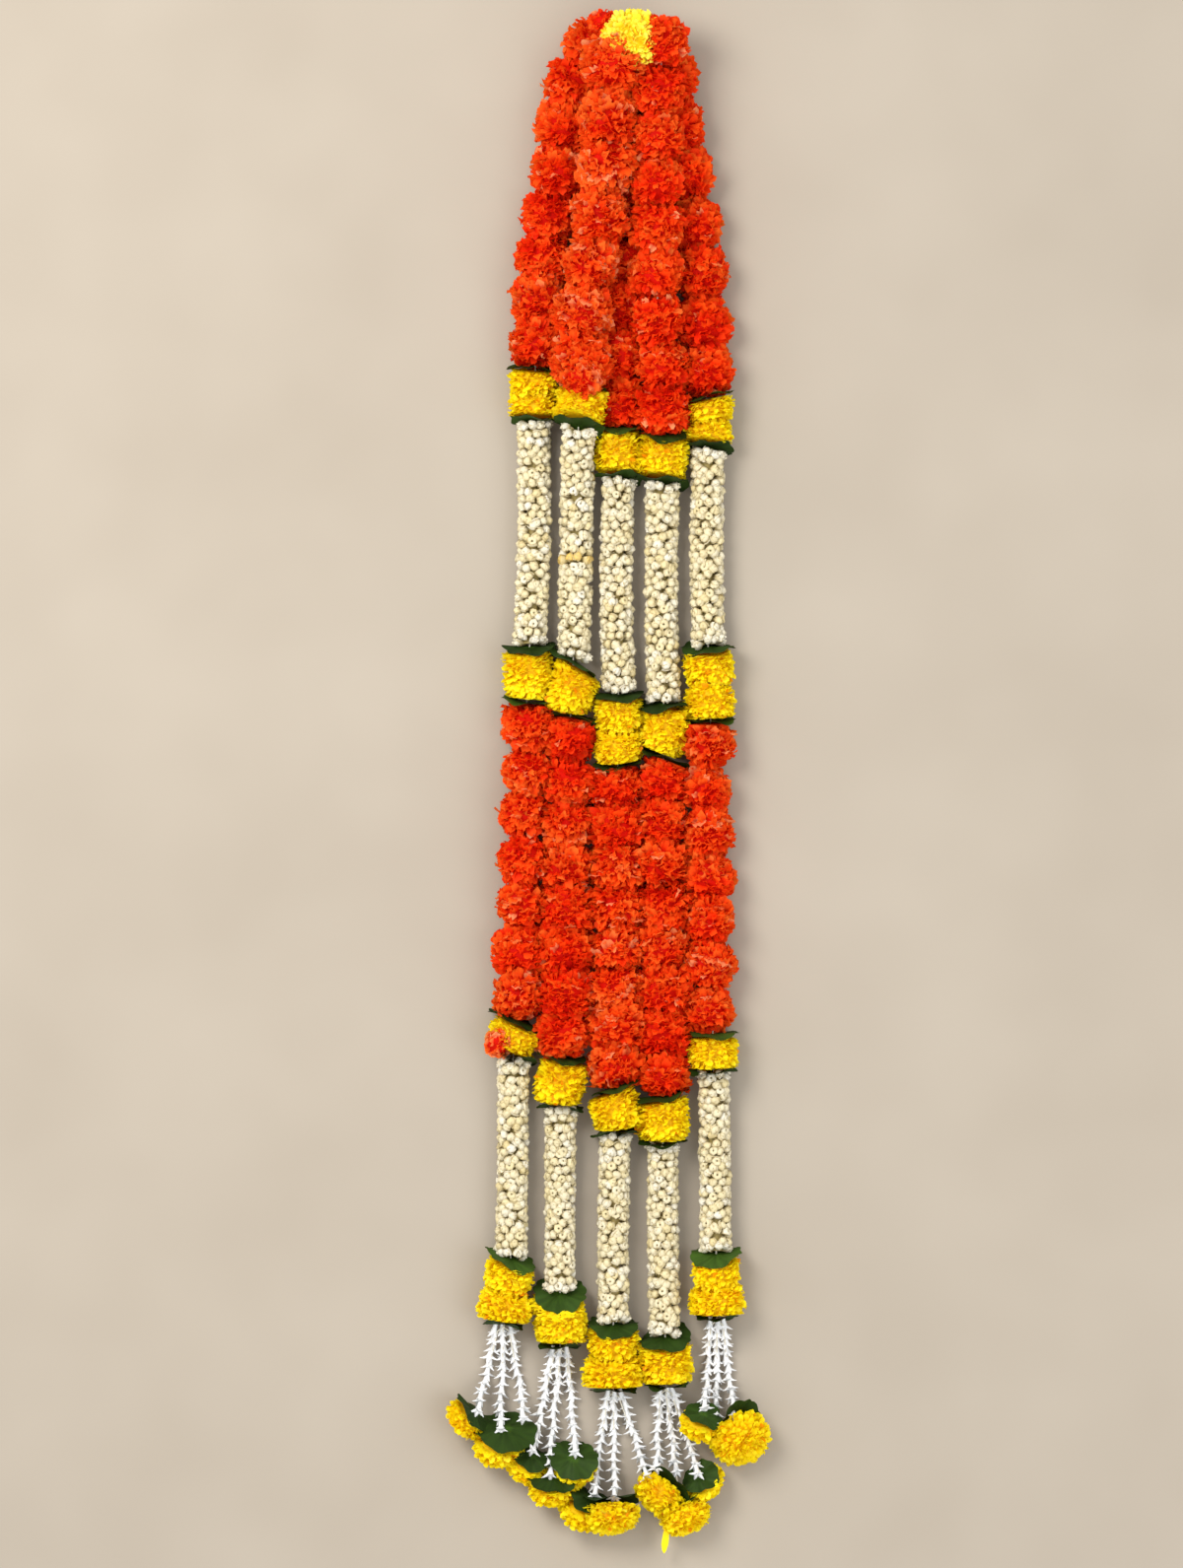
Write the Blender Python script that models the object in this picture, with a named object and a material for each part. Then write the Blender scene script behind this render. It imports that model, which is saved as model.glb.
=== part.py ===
"""Five-strand flower garland, tied at its top end and lying flat on a surface.

Metres. +Z is up, +Y points to the tied end and +X runs across the strands. The origin lies on the surface
under the middle of the garland.

Each strand is one thread with flowers on it. From the tied end it carries orange marigolds, a yellow
marigold tier, jasmine, a yellow tier, orange marigolds, a yellow tier, jasmine and a last yellow tier. Three
strings of tuberose florets hang from that as a tassel, and yellow marigolds end the strings. Strands 2 and 4
lie on top of the others where the garland is gathered, near the tie.
"""

import math

import bmesh
import bpy
from mathutils import Matrix, Vector

# Fit between pieces
GAP = 0.0003
THREAD_RADIUS = 0.00075
BORE_RADIUS = THREAD_RADIUS + 1.3 * GAP
STRING_THREAD_RADIUS = 0.0006
STRING_BORE_RADIUS = STRING_THREAD_RADIUS + 1.6 * GAP

# Flowers
SIDES = 8
ORANGE_RADIUS = 0.0215
ORANGE_PITCH = {"upper_orange_marigolds": 0.0455, "lower_orange_marigolds": 0.0415}
YELLOW_RADIUS = 0.0208
LEAF_RADIUS = 0.0215
LEAF_THICKNESS = 0.0008
WAIST = 0.78
BELLY = (0.22, 0.78)
JASMINE_RADIUS = 0.0165
JASMINE_STEP = 0.045
FLORET_PITCH = 0.0135
FLORET_MOUTH_RADIUS = 0.0060
FLORET_TUBE_RADIUS = 0.0023
FLORET_MOUTH_AT = 0.8
FLORET_SIDES = 5

# Height of a thread over the surface, where the flowers on it touch that surface with a flat side
FLAT_SIDE = math.cos(math.pi / SIDES)
MARIGOLD_SEAT = ORANGE_RADIUS * FLAT_SIDE
JASMINE_SEAT = JASMINE_RADIUS * FLAT_SIDE
FLORET_SEAT = FLORET_MOUTH_RADIUS * math.cos(math.pi / FLORET_SIDES)
SETTLE = 0.030

# Tassel
BRANCH_DROP = 0.0022
BRANCH_KNOT_RADIUS = 0.0016
TASSEL_DROP = 0.0085
TASSEL_SPREAD = 0.0060
STRING_LEAD = 0.0025
STRING_SETTLE = 0.45
STRING_STATIONS = (0.0, 0.125, 0.25, 0.375, 0.5, 1.0)

# Tie
KNOT_PLACE = Vector((0.0200, 0.7500, 0.0470))
KNOT_RADIUS = 0.0042
TAIL_RISE = 0.0040

# Single marigolds, along their axis from the calyx to the face. The widest ring, the shoulder and the rim of
# the face are given as (share of the depth, share of the radius).
CALYX_RADIUS = 0.0032
CALYX_LENGTH = 0.0030
SOCKET_DEPTH = 0.0045
SOCKET_LEAD = 0.0010
END_DEPTH = 0.0215
END_LEAF = 0.97
WIDEST = (0.30, 1.0)
SHOULDER = (0.72, 0.94)
FACE_RIM = (0.97, 0.55)

ORANGE = (0.83, 0.065, 0.012)
YELLOW = (0.90, 0.58, 0.01)
LEMON = (0.90, 0.78, 0.05)
CREAM = (0.82, 0.78, 0.60)
WHITE = (0.86, 0.86, 0.88)
COTTON = (0.75, 0.70, 0.58)
PETAL_ROUGHNESS = 0.7
COTTON_ROUGHNESS = 0.9

RUN_NAMES = (
    "upper_orange_marigolds",
    "upper_yellow_marigolds",
    "upper_jasmine",
    "middle_yellow_marigolds",
    "lower_orange_marigolds",
    "lower_yellow_marigold",
    "lower_jasmine",
    "bottom_yellow_marigolds",
)

# Each strand: where its first flower starts, the length of each run in the order of RUN_NAMES, the
# blossoms in each of its four yellow tiers, its route across the garland as (y, x), its lift over the
# surface as (y, lift), the tips of its tassel strings as (x, y), and its end marigolds as
# (string, x, y, heading in degrees from +X, tilt up in degrees, radius, lift).
STRANDS = (
    {
        "top": 0.750,
        "runs": (0.342, 0.054, 0.222, 0.055, 0.311, 0.040, 0.196, 0.066),
        "blossoms": (2, 1, 1, 2),
        "across": (
            (0.750, -0.0150), (0.690, -0.0470), (0.637, -0.0545), (0.552, -0.0620), (0.461, -0.0695),
            (0.350, -0.0740), (0.244, -0.0735), (0.100, -0.0795), (0.040, -0.0835), (-0.060, -0.0885),
            (-0.202, -0.0935), (-0.376, -0.0945), (-0.474, -0.0970), (-0.536, -0.1040),
        ),
        "lift": ((0.750, 0.0), (-0.540, 0.0)),
        "tips": ((-0.1285, -0.620), (-0.1072, -0.639), (-0.0830, -0.628)),
        "ends": (
            (0, -0.1400, -0.6335, 222, 15, 0.0165, 0.0),
            (1, -0.1085, -0.6600, 266, 25, 0.0185, 0.0),
        ),
    },
    {
        "top": 0.722,
        "runs": (0.332, 0.043, 0.228, 0.056, 0.335, 0.050, 0.182, 0.054),
        "blossoms": (1, 1, 1, 1),
        "across": (
            (0.722, 0.0005), (0.703, -0.0015), (0.608, -0.0030), (0.517, -0.0165), (0.450, -0.0255),
            (0.380, -0.0265), (0.345, -0.0300), (0.230, -0.0320), (0.120, -0.0350), (0.060, -0.0380),
            (-0.105, -0.0420), (-0.260, -0.0470), (-0.410, -0.0480), (-0.560, -0.0480),
        ),
        "lift": (
            (0.722, 0.0380), (0.622, 0.0375), (0.545, 0.0330), (0.477, 0.0260),
            (0.410, 0.0245), (0.345, 0.0235), (0.265, 0.0), (0.200, 0.0), (-0.560, 0.0),
        ),
        "tips": ((-0.0740, -0.660), (-0.0587, -0.683), (-0.0330, -0.662)),
        "ends": (
            (0, -0.0815, -0.6800, 250, 20, 0.0160, 0.0),
            (1, -0.0585, -0.7040, 268, 20, 0.0160, 0.0),
            (2, -0.0325, -0.6830, 272, 20, 0.0160, 0.0),
        ),
    },
    {
        "top": 0.728,
        "runs": (0.379, 0.051, 0.213, 0.071, 0.315, 0.046, 0.189, 0.065),
        "blossoms": (1, 2, 1, 2),
        "across": (
            (0.728, 0.0230), (0.655, 0.0220), (0.555, 0.0170), (0.477, 0.0115), (0.361, 0.0105),
            (0.324, 0.0100), (0.186, 0.0075), (0.050, 0.0100), (-0.008, 0.0080), (-0.299, 0.0070),
            (-0.444, 0.0045), (-0.602, 0.0045),
        ),
        "lift": ((0.728, 0.0), (-0.602, 0.0)),
        "tips": ((-0.0141, -0.704), (0.0060, -0.706), (0.0370, -0.684)),
        "ends": (
            (0, -0.0270, -0.7260, 245, 20, 0.0180, 0.0),
            (1, 0.0100, -0.7310, 272, 20, 0.0190, 0.0),
        ),
    },
    {
        "top": 0.742,
        "runs": (0.398, 0.051, 0.217, 0.054, 0.332, 0.048, 0.190, 0.050),
        "blossoms": (1, 1, 1, 1),
        "across": (
            (0.742, 0.0560), (0.700, 0.0500), (0.655, 0.0460), (0.545, 0.0460), (0.477, 0.0470),
            (0.380, 0.0530), (0.324, 0.0530), (0.186, 0.0515), (0.050, 0.0545), (-0.008, 0.0530),
            (-0.308, 0.0530), (-0.444, 0.0535), (-0.598, 0.0565),
        ),
        "lift": (
            (0.742, 0.0380), (0.622, 0.0365), (0.545, 0.0335), (0.477, 0.0280),
            (0.410, 0.0190), (0.344, 0.0080), (0.280, 0.0), (0.200, 0.0), (-0.600, 0.0),
        ),
        "tips": ((0.0470, -0.676), (0.0660, -0.680), (0.0870, -0.682)),
        "ends": (
            (0, 0.0470, -0.6990, 264, 20, 0.0175, 0.0),
            (1, 0.0740, -0.7255, 285, 25, 0.0185, 0.0),
            (2, 0.1000, -0.6960, 310, 15, 0.0165, 0.0),
        ),
    },
    {
        "top": 0.717,
        "runs": (0.337, 0.053, 0.195, 0.074, 0.307, 0.038, 0.179, 0.064),
        "blossoms": (2, 2, 1, 2),
        "across": (
            (0.717, 0.0735), (0.697, 0.0752), (0.650, 0.0800), (0.555, 0.0870), (0.464, 0.0925),
            (0.400, 0.0945), (0.351, 0.0975), (0.235, 0.0965), (0.094, 0.0985), (0.040, 0.1010),
            (-0.202, 0.1020), (-0.376, 0.1045), (-0.531, 0.1065),
        ),
        "lift": ((0.717, 0.0), (-0.531, 0.0)),
        "tips": ((0.0945, -0.618), (0.1065, -0.635), (0.1230, -0.626)),
        "ends": (
            (0, 0.0910, -0.6390, 258, 15, 0.0165, 0.0125),
            (2, 0.1330, -0.6480, 305, 35, 0.0230, 0.0),
        ),
    },
)

# Yellow marigold that covers the tie: its place and the direction it faces
TOP_PLACE = Vector((0.0185, 0.7390, 0.0690))
TOP_FACING = Vector((0.05, 0.40, 1.0))
TOP_RADIUS = 0.0175
TOP_DEPTH = 0.0260
TOP_CALYX_AT = 0.6
TOP_LEAF_RADIUS = CALYX_RADIUS + 0.0030


def clear_scene():
    for old in list(bpy.data.objects):
        bpy.data.objects.remove(old, do_unlink=True)


def make_material(name, colour, roughness):
    material = bpy.data.materials.new(name)
    material.use_nodes = True
    shader = material.node_tree.nodes["Principled BSDF"]
    shader.inputs["Base Color"].default_value = (*colour, 1.0)
    shader.inputs["Roughness"].default_value = roughness
    shader.inputs["Metallic"].default_value = 0.0
    return material


def finish_mesh(name, bm, colour, roughness=PETAL_ROUGHNESS):
    """Turn a closed bmesh into a named object whose faces point out."""
    if bm.calc_volume(signed=True) < 0:
        bmesh.ops.reverse_faces(bm, faces=bm.faces)
    mesh = bpy.data.meshes.new(name)
    bm.to_mesh(mesh)
    bm.free()
    mesh.materials.append(make_material(name + "_finish", colour, roughness))
    made = bpy.data.objects.new(name, mesh)
    bpy.context.scene.collection.objects.link(made)
    return made


def make_guide(made):
    """A guide only cuts or joins, so it is hidden."""
    made.hide_render = True
    made.display_type = "WIRE"
    return made


def smooth_value(points, at):
    """Value at a place on a smooth curve through (place, value) points, highest place first."""
    if at >= points[0][0]:
        return points[0][1]
    if at <= points[-1][0]:
        return points[-1][1]

    def slope(index):
        before = points[max(index - 1, 0)]
        after = points[min(index + 1, len(points) - 1)]
        return (after[1] - before[1]) / (after[0] - before[0])

    index = next(i for i in range(len(points) - 1) if at >= points[i + 1][0])
    (start, low), (end, high) = points[index], points[index + 1]
    width = end - start
    t = (at - start) / width
    return (
        (2 * t**3 - 3 * t**2 + 1) * low
        + (t**3 - 2 * t**2 + t) * width * slope(index)
        + (3 * t**2 - 2 * t**3) * high
        + (t**3 - t**2) * width * slope(index + 1)
    )


def straight_value(points, at):
    """Value at a place on straight lines through (place, value) points, highest place first."""
    for (start, first), (end, second) in zip(points, points[1:]):
        if at >= end:
            t = min(max((at - start) / (end - start), 0.0), 1.0)
            return first + (second - first) * t
    return points[-1][1]


def ease(t):
    t = min(max(t, 0.0), 1.0)
    return t * t * (3 - 2 * t)


class Strand:
    """The route of one strand and the places where its runs start and end."""

    def __init__(self, number, facts):
        self.name = f"strand_{number}"
        self.facts = facts
        self.limits = []
        start = facts["top"]
        for length in facts["runs"]:
            self.limits.append((start, start - length))
            start -= length
        self.bottom = start

    def point(self, y):
        """Where the thread is at y. Jasmine is thinner than marigolds, so the thread sinks within it."""
        seat = MARIGOLD_SEAT
        for name, (high, low) in zip(RUN_NAMES, self.limits):
            if "jasmine" in name and low < y < high:
                seat += (JASMINE_SEAT - MARIGOLD_SEAT) * ease(min(high - y, y - low) / SETTLE)
        lift = straight_value(self.facts["lift"], y)
        return Vector((smooth_value(self.facts["across"], y), y, seat + lift))


def add_ring(bm, centre, radius, sides=SIDES):
    """A ring of corners square to Y, with a flat side down."""
    step = 2 * math.pi / sides
    ring = []
    for side in range(sides):
        angle = -math.pi / 2 + (side + 0.5) * step
        ring.append(bm.verts.new(centre + Vector((radius * math.cos(angle), 0, radius * math.sin(angle)))))
    return ring


def skin(bm, first, second):
    """Faces between two rings that have the same number of corners."""
    count = len(first)
    for side in range(count):
        after = (side + 1) % count
        bm.faces.new((first[side], first[after], second[after], second[side]))


def skin_all(bm, rings):
    for first, second in zip(rings, rings[1:]):
        skin(bm, first, second)


def split_evenly(high, low, count):
    return [high + (low - high) * index / count for index in range(count + 1)]


def blossoms_profile(high, low, count, radius):
    """Blossoms pressed on each other: a waist at each end and a full belly between, as (y, radius)."""
    profile = []
    edges = split_evenly(high, low, count)
    for start, end in zip(edges, edges[1:]):
        length = end - start
        profile += [
            (start, radius * WAIST),
            (start + BELLY[0] * length, radius),
            (start + BELLY[1] * length, radius),
        ]
    profile.append((edges[-1], radius * WAIST))
    return profile


def tier_profile(high, low, count):
    """Yellow marigolds between two round leaves, as (y, radius)."""
    upper = high - LEAF_THICKNESS
    lower = low + LEAF_THICKNESS
    leaf_above = [(high, LEAF_RADIUS), (upper, LEAF_RADIUS)]
    leaf_below = [(lower, LEAF_RADIUS), (low, LEAF_RADIUS)]
    return leaf_above + blossoms_profile(upper, lower, count, YELLOW_RADIUS) + leaf_below


class Run:
    """One run of a strand: its outer profile and the stations of its bore."""

    def __init__(self, strand, index):
        high, low = strand.limits[index]
        self.high = high - GAP / 2
        self.low = low + GAP / 2
        self.kind = RUN_NAMES[index]
        self.name = f"{strand.name}_{self.kind}"
        self.strand = strand
        if "orange" in self.kind:
            count = round((self.high - self.low) / ORANGE_PITCH[self.kind])
            self.profile = blossoms_profile(self.high, self.low, count, ORANGE_RADIUS)
            self.stations = split_evenly(self.high, self.low, (count + 1) // 2)
            self.colour = ORANGE
        elif "jasmine" in self.kind:
            count = round((self.high - self.low) / JASMINE_STEP)
            self.stations = split_evenly(self.high, self.low, count)
            self.profile = [(y, JASMINE_RADIUS) for y in self.stations]
            self.colour = CREAM
        else:
            tier = RUN_NAMES[1::2].index(self.kind)
            count = strand.facts["blossoms"][tier]
            self.profile = tier_profile(self.high, self.low, count)
            self.stations = split_evenly(self.high, self.low, count)
            self.colour = YELLOW

    def make(self):
        """A tube of the run's profile round its bore, closed at both ends."""
        bm = bmesh.new()
        outer = [add_ring(bm, self.strand.point(y), radius) for y, radius in self.profile]
        inner = [add_ring(bm, self.strand.point(y), BORE_RADIUS) for y in reversed(self.stations)]
        skin_all(bm, outer + inner + outer[:1])
        return finish_mesh(self.name, bm, self.colour)


def add_tube(bm, points, radius, sides=FLORET_SIDES):
    """A closed round bar along points."""
    step = 2 * math.pi / sides
    rings = []
    side_way = None
    for index, point in enumerate(points):
        before = points[max(index - 1, 0)]
        after = points[min(index + 1, len(points) - 1)]
        along = (after - before).normalized()
        if side_way is None:
            side_way = along.cross(Vector((0, 0, 1))).normalized()
        side_way = (side_way - along * side_way.dot(along)).normalized()
        other_way = along.cross(side_way)
        ring = []
        for side in range(sides):
            angle = (side + 0.5) * step
            offset = side_way * math.cos(angle) + other_way * math.sin(angle)
            ring.append(bm.verts.new(point + offset * radius))
        rings.append(ring)
    skin_all(bm, rings)
    bm.faces.new(reversed(rings[0]))
    bm.faces.new(rings[-1])


def string_point(strand, string, t):
    """A point on a tassel string, from its start under the last tier (t = 0) to its tip (t = 1)."""
    root = strand.point(strand.bottom)
    start = Vector((root.x + (string - 1) * TASSEL_SPREAD, strand.bottom - TASSEL_DROP, root.z))
    tip_x, tip_y = strand.facts["tips"][string]
    tip = Vector((tip_x, tip_y, FLORET_SEAT))
    place = start.lerp(tip, t)
    place.z = start.z + (tip.z - start.z) * ease(t / STRING_SETTLE)
    return place


def string_stations(strand, string):
    return [string_point(strand, string, t) for t in STRING_STATIONS]


def before_string(stations):
    """Where a thread lines up with its string, just above it."""
    return stations[0] - (stations[1] - stations[0]).normalized() * STRING_LEAD


def after_string(stations):
    """Where a thread leaves its string, just past the tip."""
    return stations[-1] + (stations[-1] - stations[-2]).normalized() * STRING_LEAD


def branch_point(strand):
    """Where the strand's thread is tied to its three string threads."""
    return strand.point(strand.bottom) - Vector((0, BRANCH_DROP, 0))


def make_string(strand, string):
    """A string of tuberose florets, each a tube that opens into a wide mouth."""
    length = strand.bottom - TASSEL_DROP - strand.facts["tips"][string][1]
    count = round(length / FLORET_PITCH)
    bm = bmesh.new()
    rings = []
    for floret in range(count):
        for part, radius in ((0.0, FLORET_TUBE_RADIUS), (FLORET_MOUTH_AT, FLORET_MOUTH_RADIUS)):
            centre = string_point(strand, string, (floret + part) / count)
            rings.append(add_ring(bm, centre, radius, FLORET_SIDES))
    rings.append(add_ring(bm, string_point(strand, string, 1.0), FLORET_TUBE_RADIUS, FLORET_SIDES))
    skin_all(bm, rings)
    bm.faces.new(reversed(rings[0]))
    bm.faces.new(rings[-1])
    return finish_mesh(f"{strand.name}_string_{string + 1}", bm, WHITE)


def make_string_bore(strand, string):
    """The cutter for the bore of one tassel string, a little longer than the string."""
    points = string_stations(strand, string)
    path = [before_string(points), *points[1:-1], after_string(points)]
    bm = bmesh.new()
    add_tube(bm, path, STRING_BORE_RADIUS)
    return make_guide(finish_mesh(f"{strand.name}_bore_{string + 1}", bm, WHITE))


def add_boolean(made, operation, guides, name):
    """Join or cut an object with a set of guides."""
    group = bpy.data.collections.new(f"{made.name}_{name}")
    bpy.context.scene.collection.children.link(group)
    for guide in guides:
        group.objects.link(guide)
        bpy.context.scene.collection.objects.unlink(guide)
    modifier = made.modifiers.new(name, "BOOLEAN")
    modifier.operation = operation
    modifier.operand_type = "COLLECTION"
    modifier.collection = group
    modifier.solver = "EXACT"


def make_tassel(strand):
    """Three strings that touch at the top, joined there in one piece, with a bore along each."""
    strings = [make_string(strand, string) for string in range(3)]
    made = strings[0]
    made.name = f"{strand.name}_tuberose_tassel"
    add_boolean(made, "UNION", [make_guide(string) for string in strings[1:]], "strings")
    add_boolean(made, "DIFFERENCE", [make_string_bore(strand, string) for string in range(3)], "bores")
    return made


def lathe(bm, profile, sides=SIDES):
    """A body turned about Z from (height, radius) points that start and end on the axis."""
    step = 2 * math.pi / sides
    first = bm.verts.new((0, 0, profile[0][0]))
    last = bm.verts.new((0, 0, profile[-1][0]))
    rings = []
    for height, radius in profile[1:-1]:
        ring = []
        for side in range(sides):
            angle = (side + 0.5) * step
            ring.append(bm.verts.new((radius * math.cos(angle), radius * math.sin(angle), height)))
        rings.append(ring)
    skin_all(bm, rings)
    for side in range(sides):
        after = (side + 1) % sides
        bm.faces.new((first, rings[0][after], rings[0][side]))
        bm.faces.new((last, rings[-1][side], rings[-1][after]))


def blossom_body(radius, depth, leaf_radius):
    """A marigold on its calyx, face up, with a socket for its thread and a leaf behind it."""
    leaf_top = CALYX_LENGTH + LEAF_THICKNESS
    petals = [(leaf_top + share * (depth - leaf_top), radius * width) for share, width in (WIDEST, SHOULDER)]
    profile = (
        (SOCKET_DEPTH, 0.0),
        (SOCKET_DEPTH, STRING_BORE_RADIUS),
        (0.0, STRING_BORE_RADIUS),
        (0.0, CALYX_RADIUS),
        (CALYX_LENGTH, CALYX_RADIUS),
        (CALYX_LENGTH, leaf_radius),
        (leaf_top, leaf_radius),
        *petals,
        (depth * FACE_RIM[0], radius * FACE_RIM[1]),
        (depth, 0.0),
    )
    bm = bmesh.new()
    lathe(bm, profile)
    return bm


def socket_path(calyx, facing):
    """Where a thread enters a calyx and where it ends inside."""
    return [calyx - facing * SOCKET_LEAD, calyx + facing * (SOCKET_DEPTH - 2 * GAP)]


class EndMarigold:
    """A yellow marigold at the end of a tassel string, resting on the surface."""

    def __init__(self, strand, number, facts):
        self.string, x, y, heading, tilt, self.radius, lift = facts
        self.name = f"{strand.name}_end_marigold_{number}"
        heading = math.radians(heading)
        tilt = math.radians(tilt)
        facing = Vector((
            math.cos(heading) * math.cos(tilt),
            math.sin(heading) * math.cos(tilt),
            math.sin(tilt),
        ))
        self.turn = facing.to_track_quat("Z", "Y").to_matrix().to_4x4()
        self.bm = blossom_body(self.radius, END_DEPTH, self.radius * END_LEAF)
        bmesh.ops.transform(self.bm, matrix=self.turn, verts=self.bm.verts)
        lowest = min(corner.co.z for corner in self.bm.verts)
        self.calyx = Vector((x, y, lift - lowest)) - facing * END_DEPTH / 2
        self.calyx.z = lift - lowest
        self.facing = facing

    def make(self):
        bmesh.ops.transform(self.bm, matrix=Matrix.Translation(self.calyx), verts=self.bm.verts)
        return finish_mesh(self.name, self.bm, YELLOW)

    def socket(self):
        return socket_path(self.calyx, self.facing)


def make_top_marigold():
    """The lemon yellow marigold over the tie. Returns it with the path of its thread."""
    facing = TOP_FACING.normalized()
    turn = facing.to_track_quat("Z", "Y").to_matrix().to_4x4()
    calyx = TOP_PLACE - facing * TOP_DEPTH * TOP_CALYX_AT
    bm = blossom_body(TOP_RADIUS, TOP_DEPTH, TOP_LEAF_RADIUS)
    bmesh.ops.transform(bm, matrix=Matrix.Translation(calyx) @ turn, verts=bm.verts)
    return finish_mesh("top_yellow_marigold", bm, LEMON), [KNOT_PLACE, *socket_path(calyx, facing)]


def make_thread_piece(name, points, radius):
    bm = bmesh.new()
    add_tube(bm, points, radius)
    return make_guide(finish_mesh(name, bm, COTTON))


def strand_thread(strand, runs):
    """From the knot, through every run, to just below the last tier."""
    points = [KNOT_PLACE, strand.point(strand.facts["top"]) + Vector((0, TAIL_RISE, 0))]
    for run in runs:
        points += [strand.point(y) for y in run.stations[:-1]]
    points += [strand.point(runs[-1].low), branch_point(strand)]
    return make_thread_piece(f"{strand.name}_thread", points, THREAD_RADIUS)


def string_thread(strand, string, ends):
    """From the strand's thread, through one tassel string, into the marigold that ends it."""
    stations = string_stations(strand, string)
    points = [branch_point(strand), before_string(stations), *stations]
    for end in ends:
        if end.string == string:
            points += [after_string(stations), *end.socket()]
    return make_thread_piece(f"{strand.name}_string_thread_{string + 1}", points, STRING_THREAD_RADIUS)


def make_knot(name, place, radius):
    bm = bmesh.new()
    bmesh.ops.create_icosphere(bm, subdivisions=1, radius=radius)
    bmesh.ops.transform(bm, matrix=Matrix.Translation(place), verts=bm.verts)
    return finish_mesh(name, bm, COTTON, COTTON_ROUGHNESS)


def rest_under_middle(pieces):
    """Move everything so that the origin lies under the middle of the garland."""
    bpy.context.view_layer.update()
    corners = [piece.matrix_world @ Vector(corner) for piece in pieces for corner in piece.bound_box]
    middle_x = (min(corner.x for corner in corners) + max(corner.x for corner in corners)) / 2
    middle_y = (min(corner.y for corner in corners) + max(corner.y for corner in corners)) / 2
    for piece in bpy.data.objects:
        piece.location = (-middle_x, -middle_y, 0)


def main():
    clear_scene()
    pieces = []
    threads = []
    for number, facts in enumerate(STRANDS, start=1):
        strand = Strand(number, facts)
        runs = [Run(strand, index) for index in range(len(RUN_NAMES))]
        ends = [EndMarigold(strand, count, end) for count, end in enumerate(facts["ends"], start=1)]
        threads.append(strand_thread(strand, runs))
        threads.append(make_guide(make_knot(f"{strand.name}_knot", branch_point(strand), BRANCH_KNOT_RADIUS)))
        threads += [string_thread(strand, string, ends) for string in range(3)]
        pieces += [run.make() for run in runs]
        pieces.append(make_tassel(strand))
        pieces += [end.make() for end in ends]
    top_marigold, top_path = make_top_marigold()
    threads.append(make_thread_piece("top_thread", top_path, STRING_THREAD_RADIUS))
    knot = make_knot("tied_threads", KNOT_PLACE, KNOT_RADIUS)
    add_boolean(knot, "UNION", threads, "threads")
    pieces += [top_marigold, knot]
    rest_under_middle(pieces)


main()
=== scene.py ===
"""Looks of a five-strand marigold garland that lies flat: petals, buds, florets and leaves.

Metres. +Z is up, +Y points to the tied end and +X runs across the strands.
"""

import math

import bpy
import numpy as np
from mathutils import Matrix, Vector


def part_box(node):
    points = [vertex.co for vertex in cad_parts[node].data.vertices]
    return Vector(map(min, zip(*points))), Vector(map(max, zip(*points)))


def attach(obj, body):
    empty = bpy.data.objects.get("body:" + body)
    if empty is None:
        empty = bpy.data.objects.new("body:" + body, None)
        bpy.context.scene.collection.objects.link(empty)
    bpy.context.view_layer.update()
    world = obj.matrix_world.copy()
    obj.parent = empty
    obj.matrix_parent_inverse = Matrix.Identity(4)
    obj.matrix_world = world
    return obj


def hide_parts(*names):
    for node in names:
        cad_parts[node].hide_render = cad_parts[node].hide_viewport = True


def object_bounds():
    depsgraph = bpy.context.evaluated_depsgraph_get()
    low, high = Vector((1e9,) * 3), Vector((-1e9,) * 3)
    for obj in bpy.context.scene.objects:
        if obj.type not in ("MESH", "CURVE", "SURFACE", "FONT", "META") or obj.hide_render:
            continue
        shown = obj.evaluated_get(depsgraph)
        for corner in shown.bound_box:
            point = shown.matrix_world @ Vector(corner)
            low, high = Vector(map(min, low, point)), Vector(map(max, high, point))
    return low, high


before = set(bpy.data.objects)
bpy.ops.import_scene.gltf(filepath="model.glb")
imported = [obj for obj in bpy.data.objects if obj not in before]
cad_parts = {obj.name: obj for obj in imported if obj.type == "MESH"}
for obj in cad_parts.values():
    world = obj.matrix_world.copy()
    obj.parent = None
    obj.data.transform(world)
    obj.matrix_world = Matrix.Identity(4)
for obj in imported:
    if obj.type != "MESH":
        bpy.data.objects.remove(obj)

CAD_BOX = [list(corner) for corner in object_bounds()]

# Each petal, bud or leaf is one sheet. Its place on a piece's map is one of SHADES squared cells.
SHADES = 8
CELL_EDGE = 0.06
GOLDEN_ANGLE = math.pi * (3 - math.sqrt(5))
FULL_TURN = 2 * math.pi

# Random starting turns are drawn from 0 to this
ANY_TURN = 6.3

# Petals press flat within PRESS_HEIGHT of the surface, of the greatest height or of a leaf
PRESS_HEIGHT = 0.004
SURFACE_GAP = 0.0004
TOP_HEIGHT = CAD_BOX[1][2] + 0.0105

RUNS = (
    "upper_orange_marigolds",
    "upper_yellow_marigolds",
    "upper_jasmine",
    "middle_yellow_marigolds",
    "lower_orange_marigolds",
    "lower_yellow_marigold",
    "lower_jasmine",
    "bottom_yellow_marigolds",
)
UPPER_ORANGE, MIDDLE_TIER, LAST_TIER = RUNS[0], RUNS[3], RUNS[7]
STRANDS = (1, 2, 3, 4, 5)


def unit(vectors):
    """The same directions, of length 1."""
    return vectors / np.linalg.norm(vectors, axis=-1, keepdims=True)


def square_ways(way):
    """For each direction, two more that are square to it and to each other."""
    way = np.asarray(way, float)
    aside = np.where(np.abs(way[..., 2:3]) < 0.9, (0.0, 0.0, 1.0), (0.0, 1.0, 0.0))
    first = unit(np.cross(aside, way))
    return first, np.cross(way, first)


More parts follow.
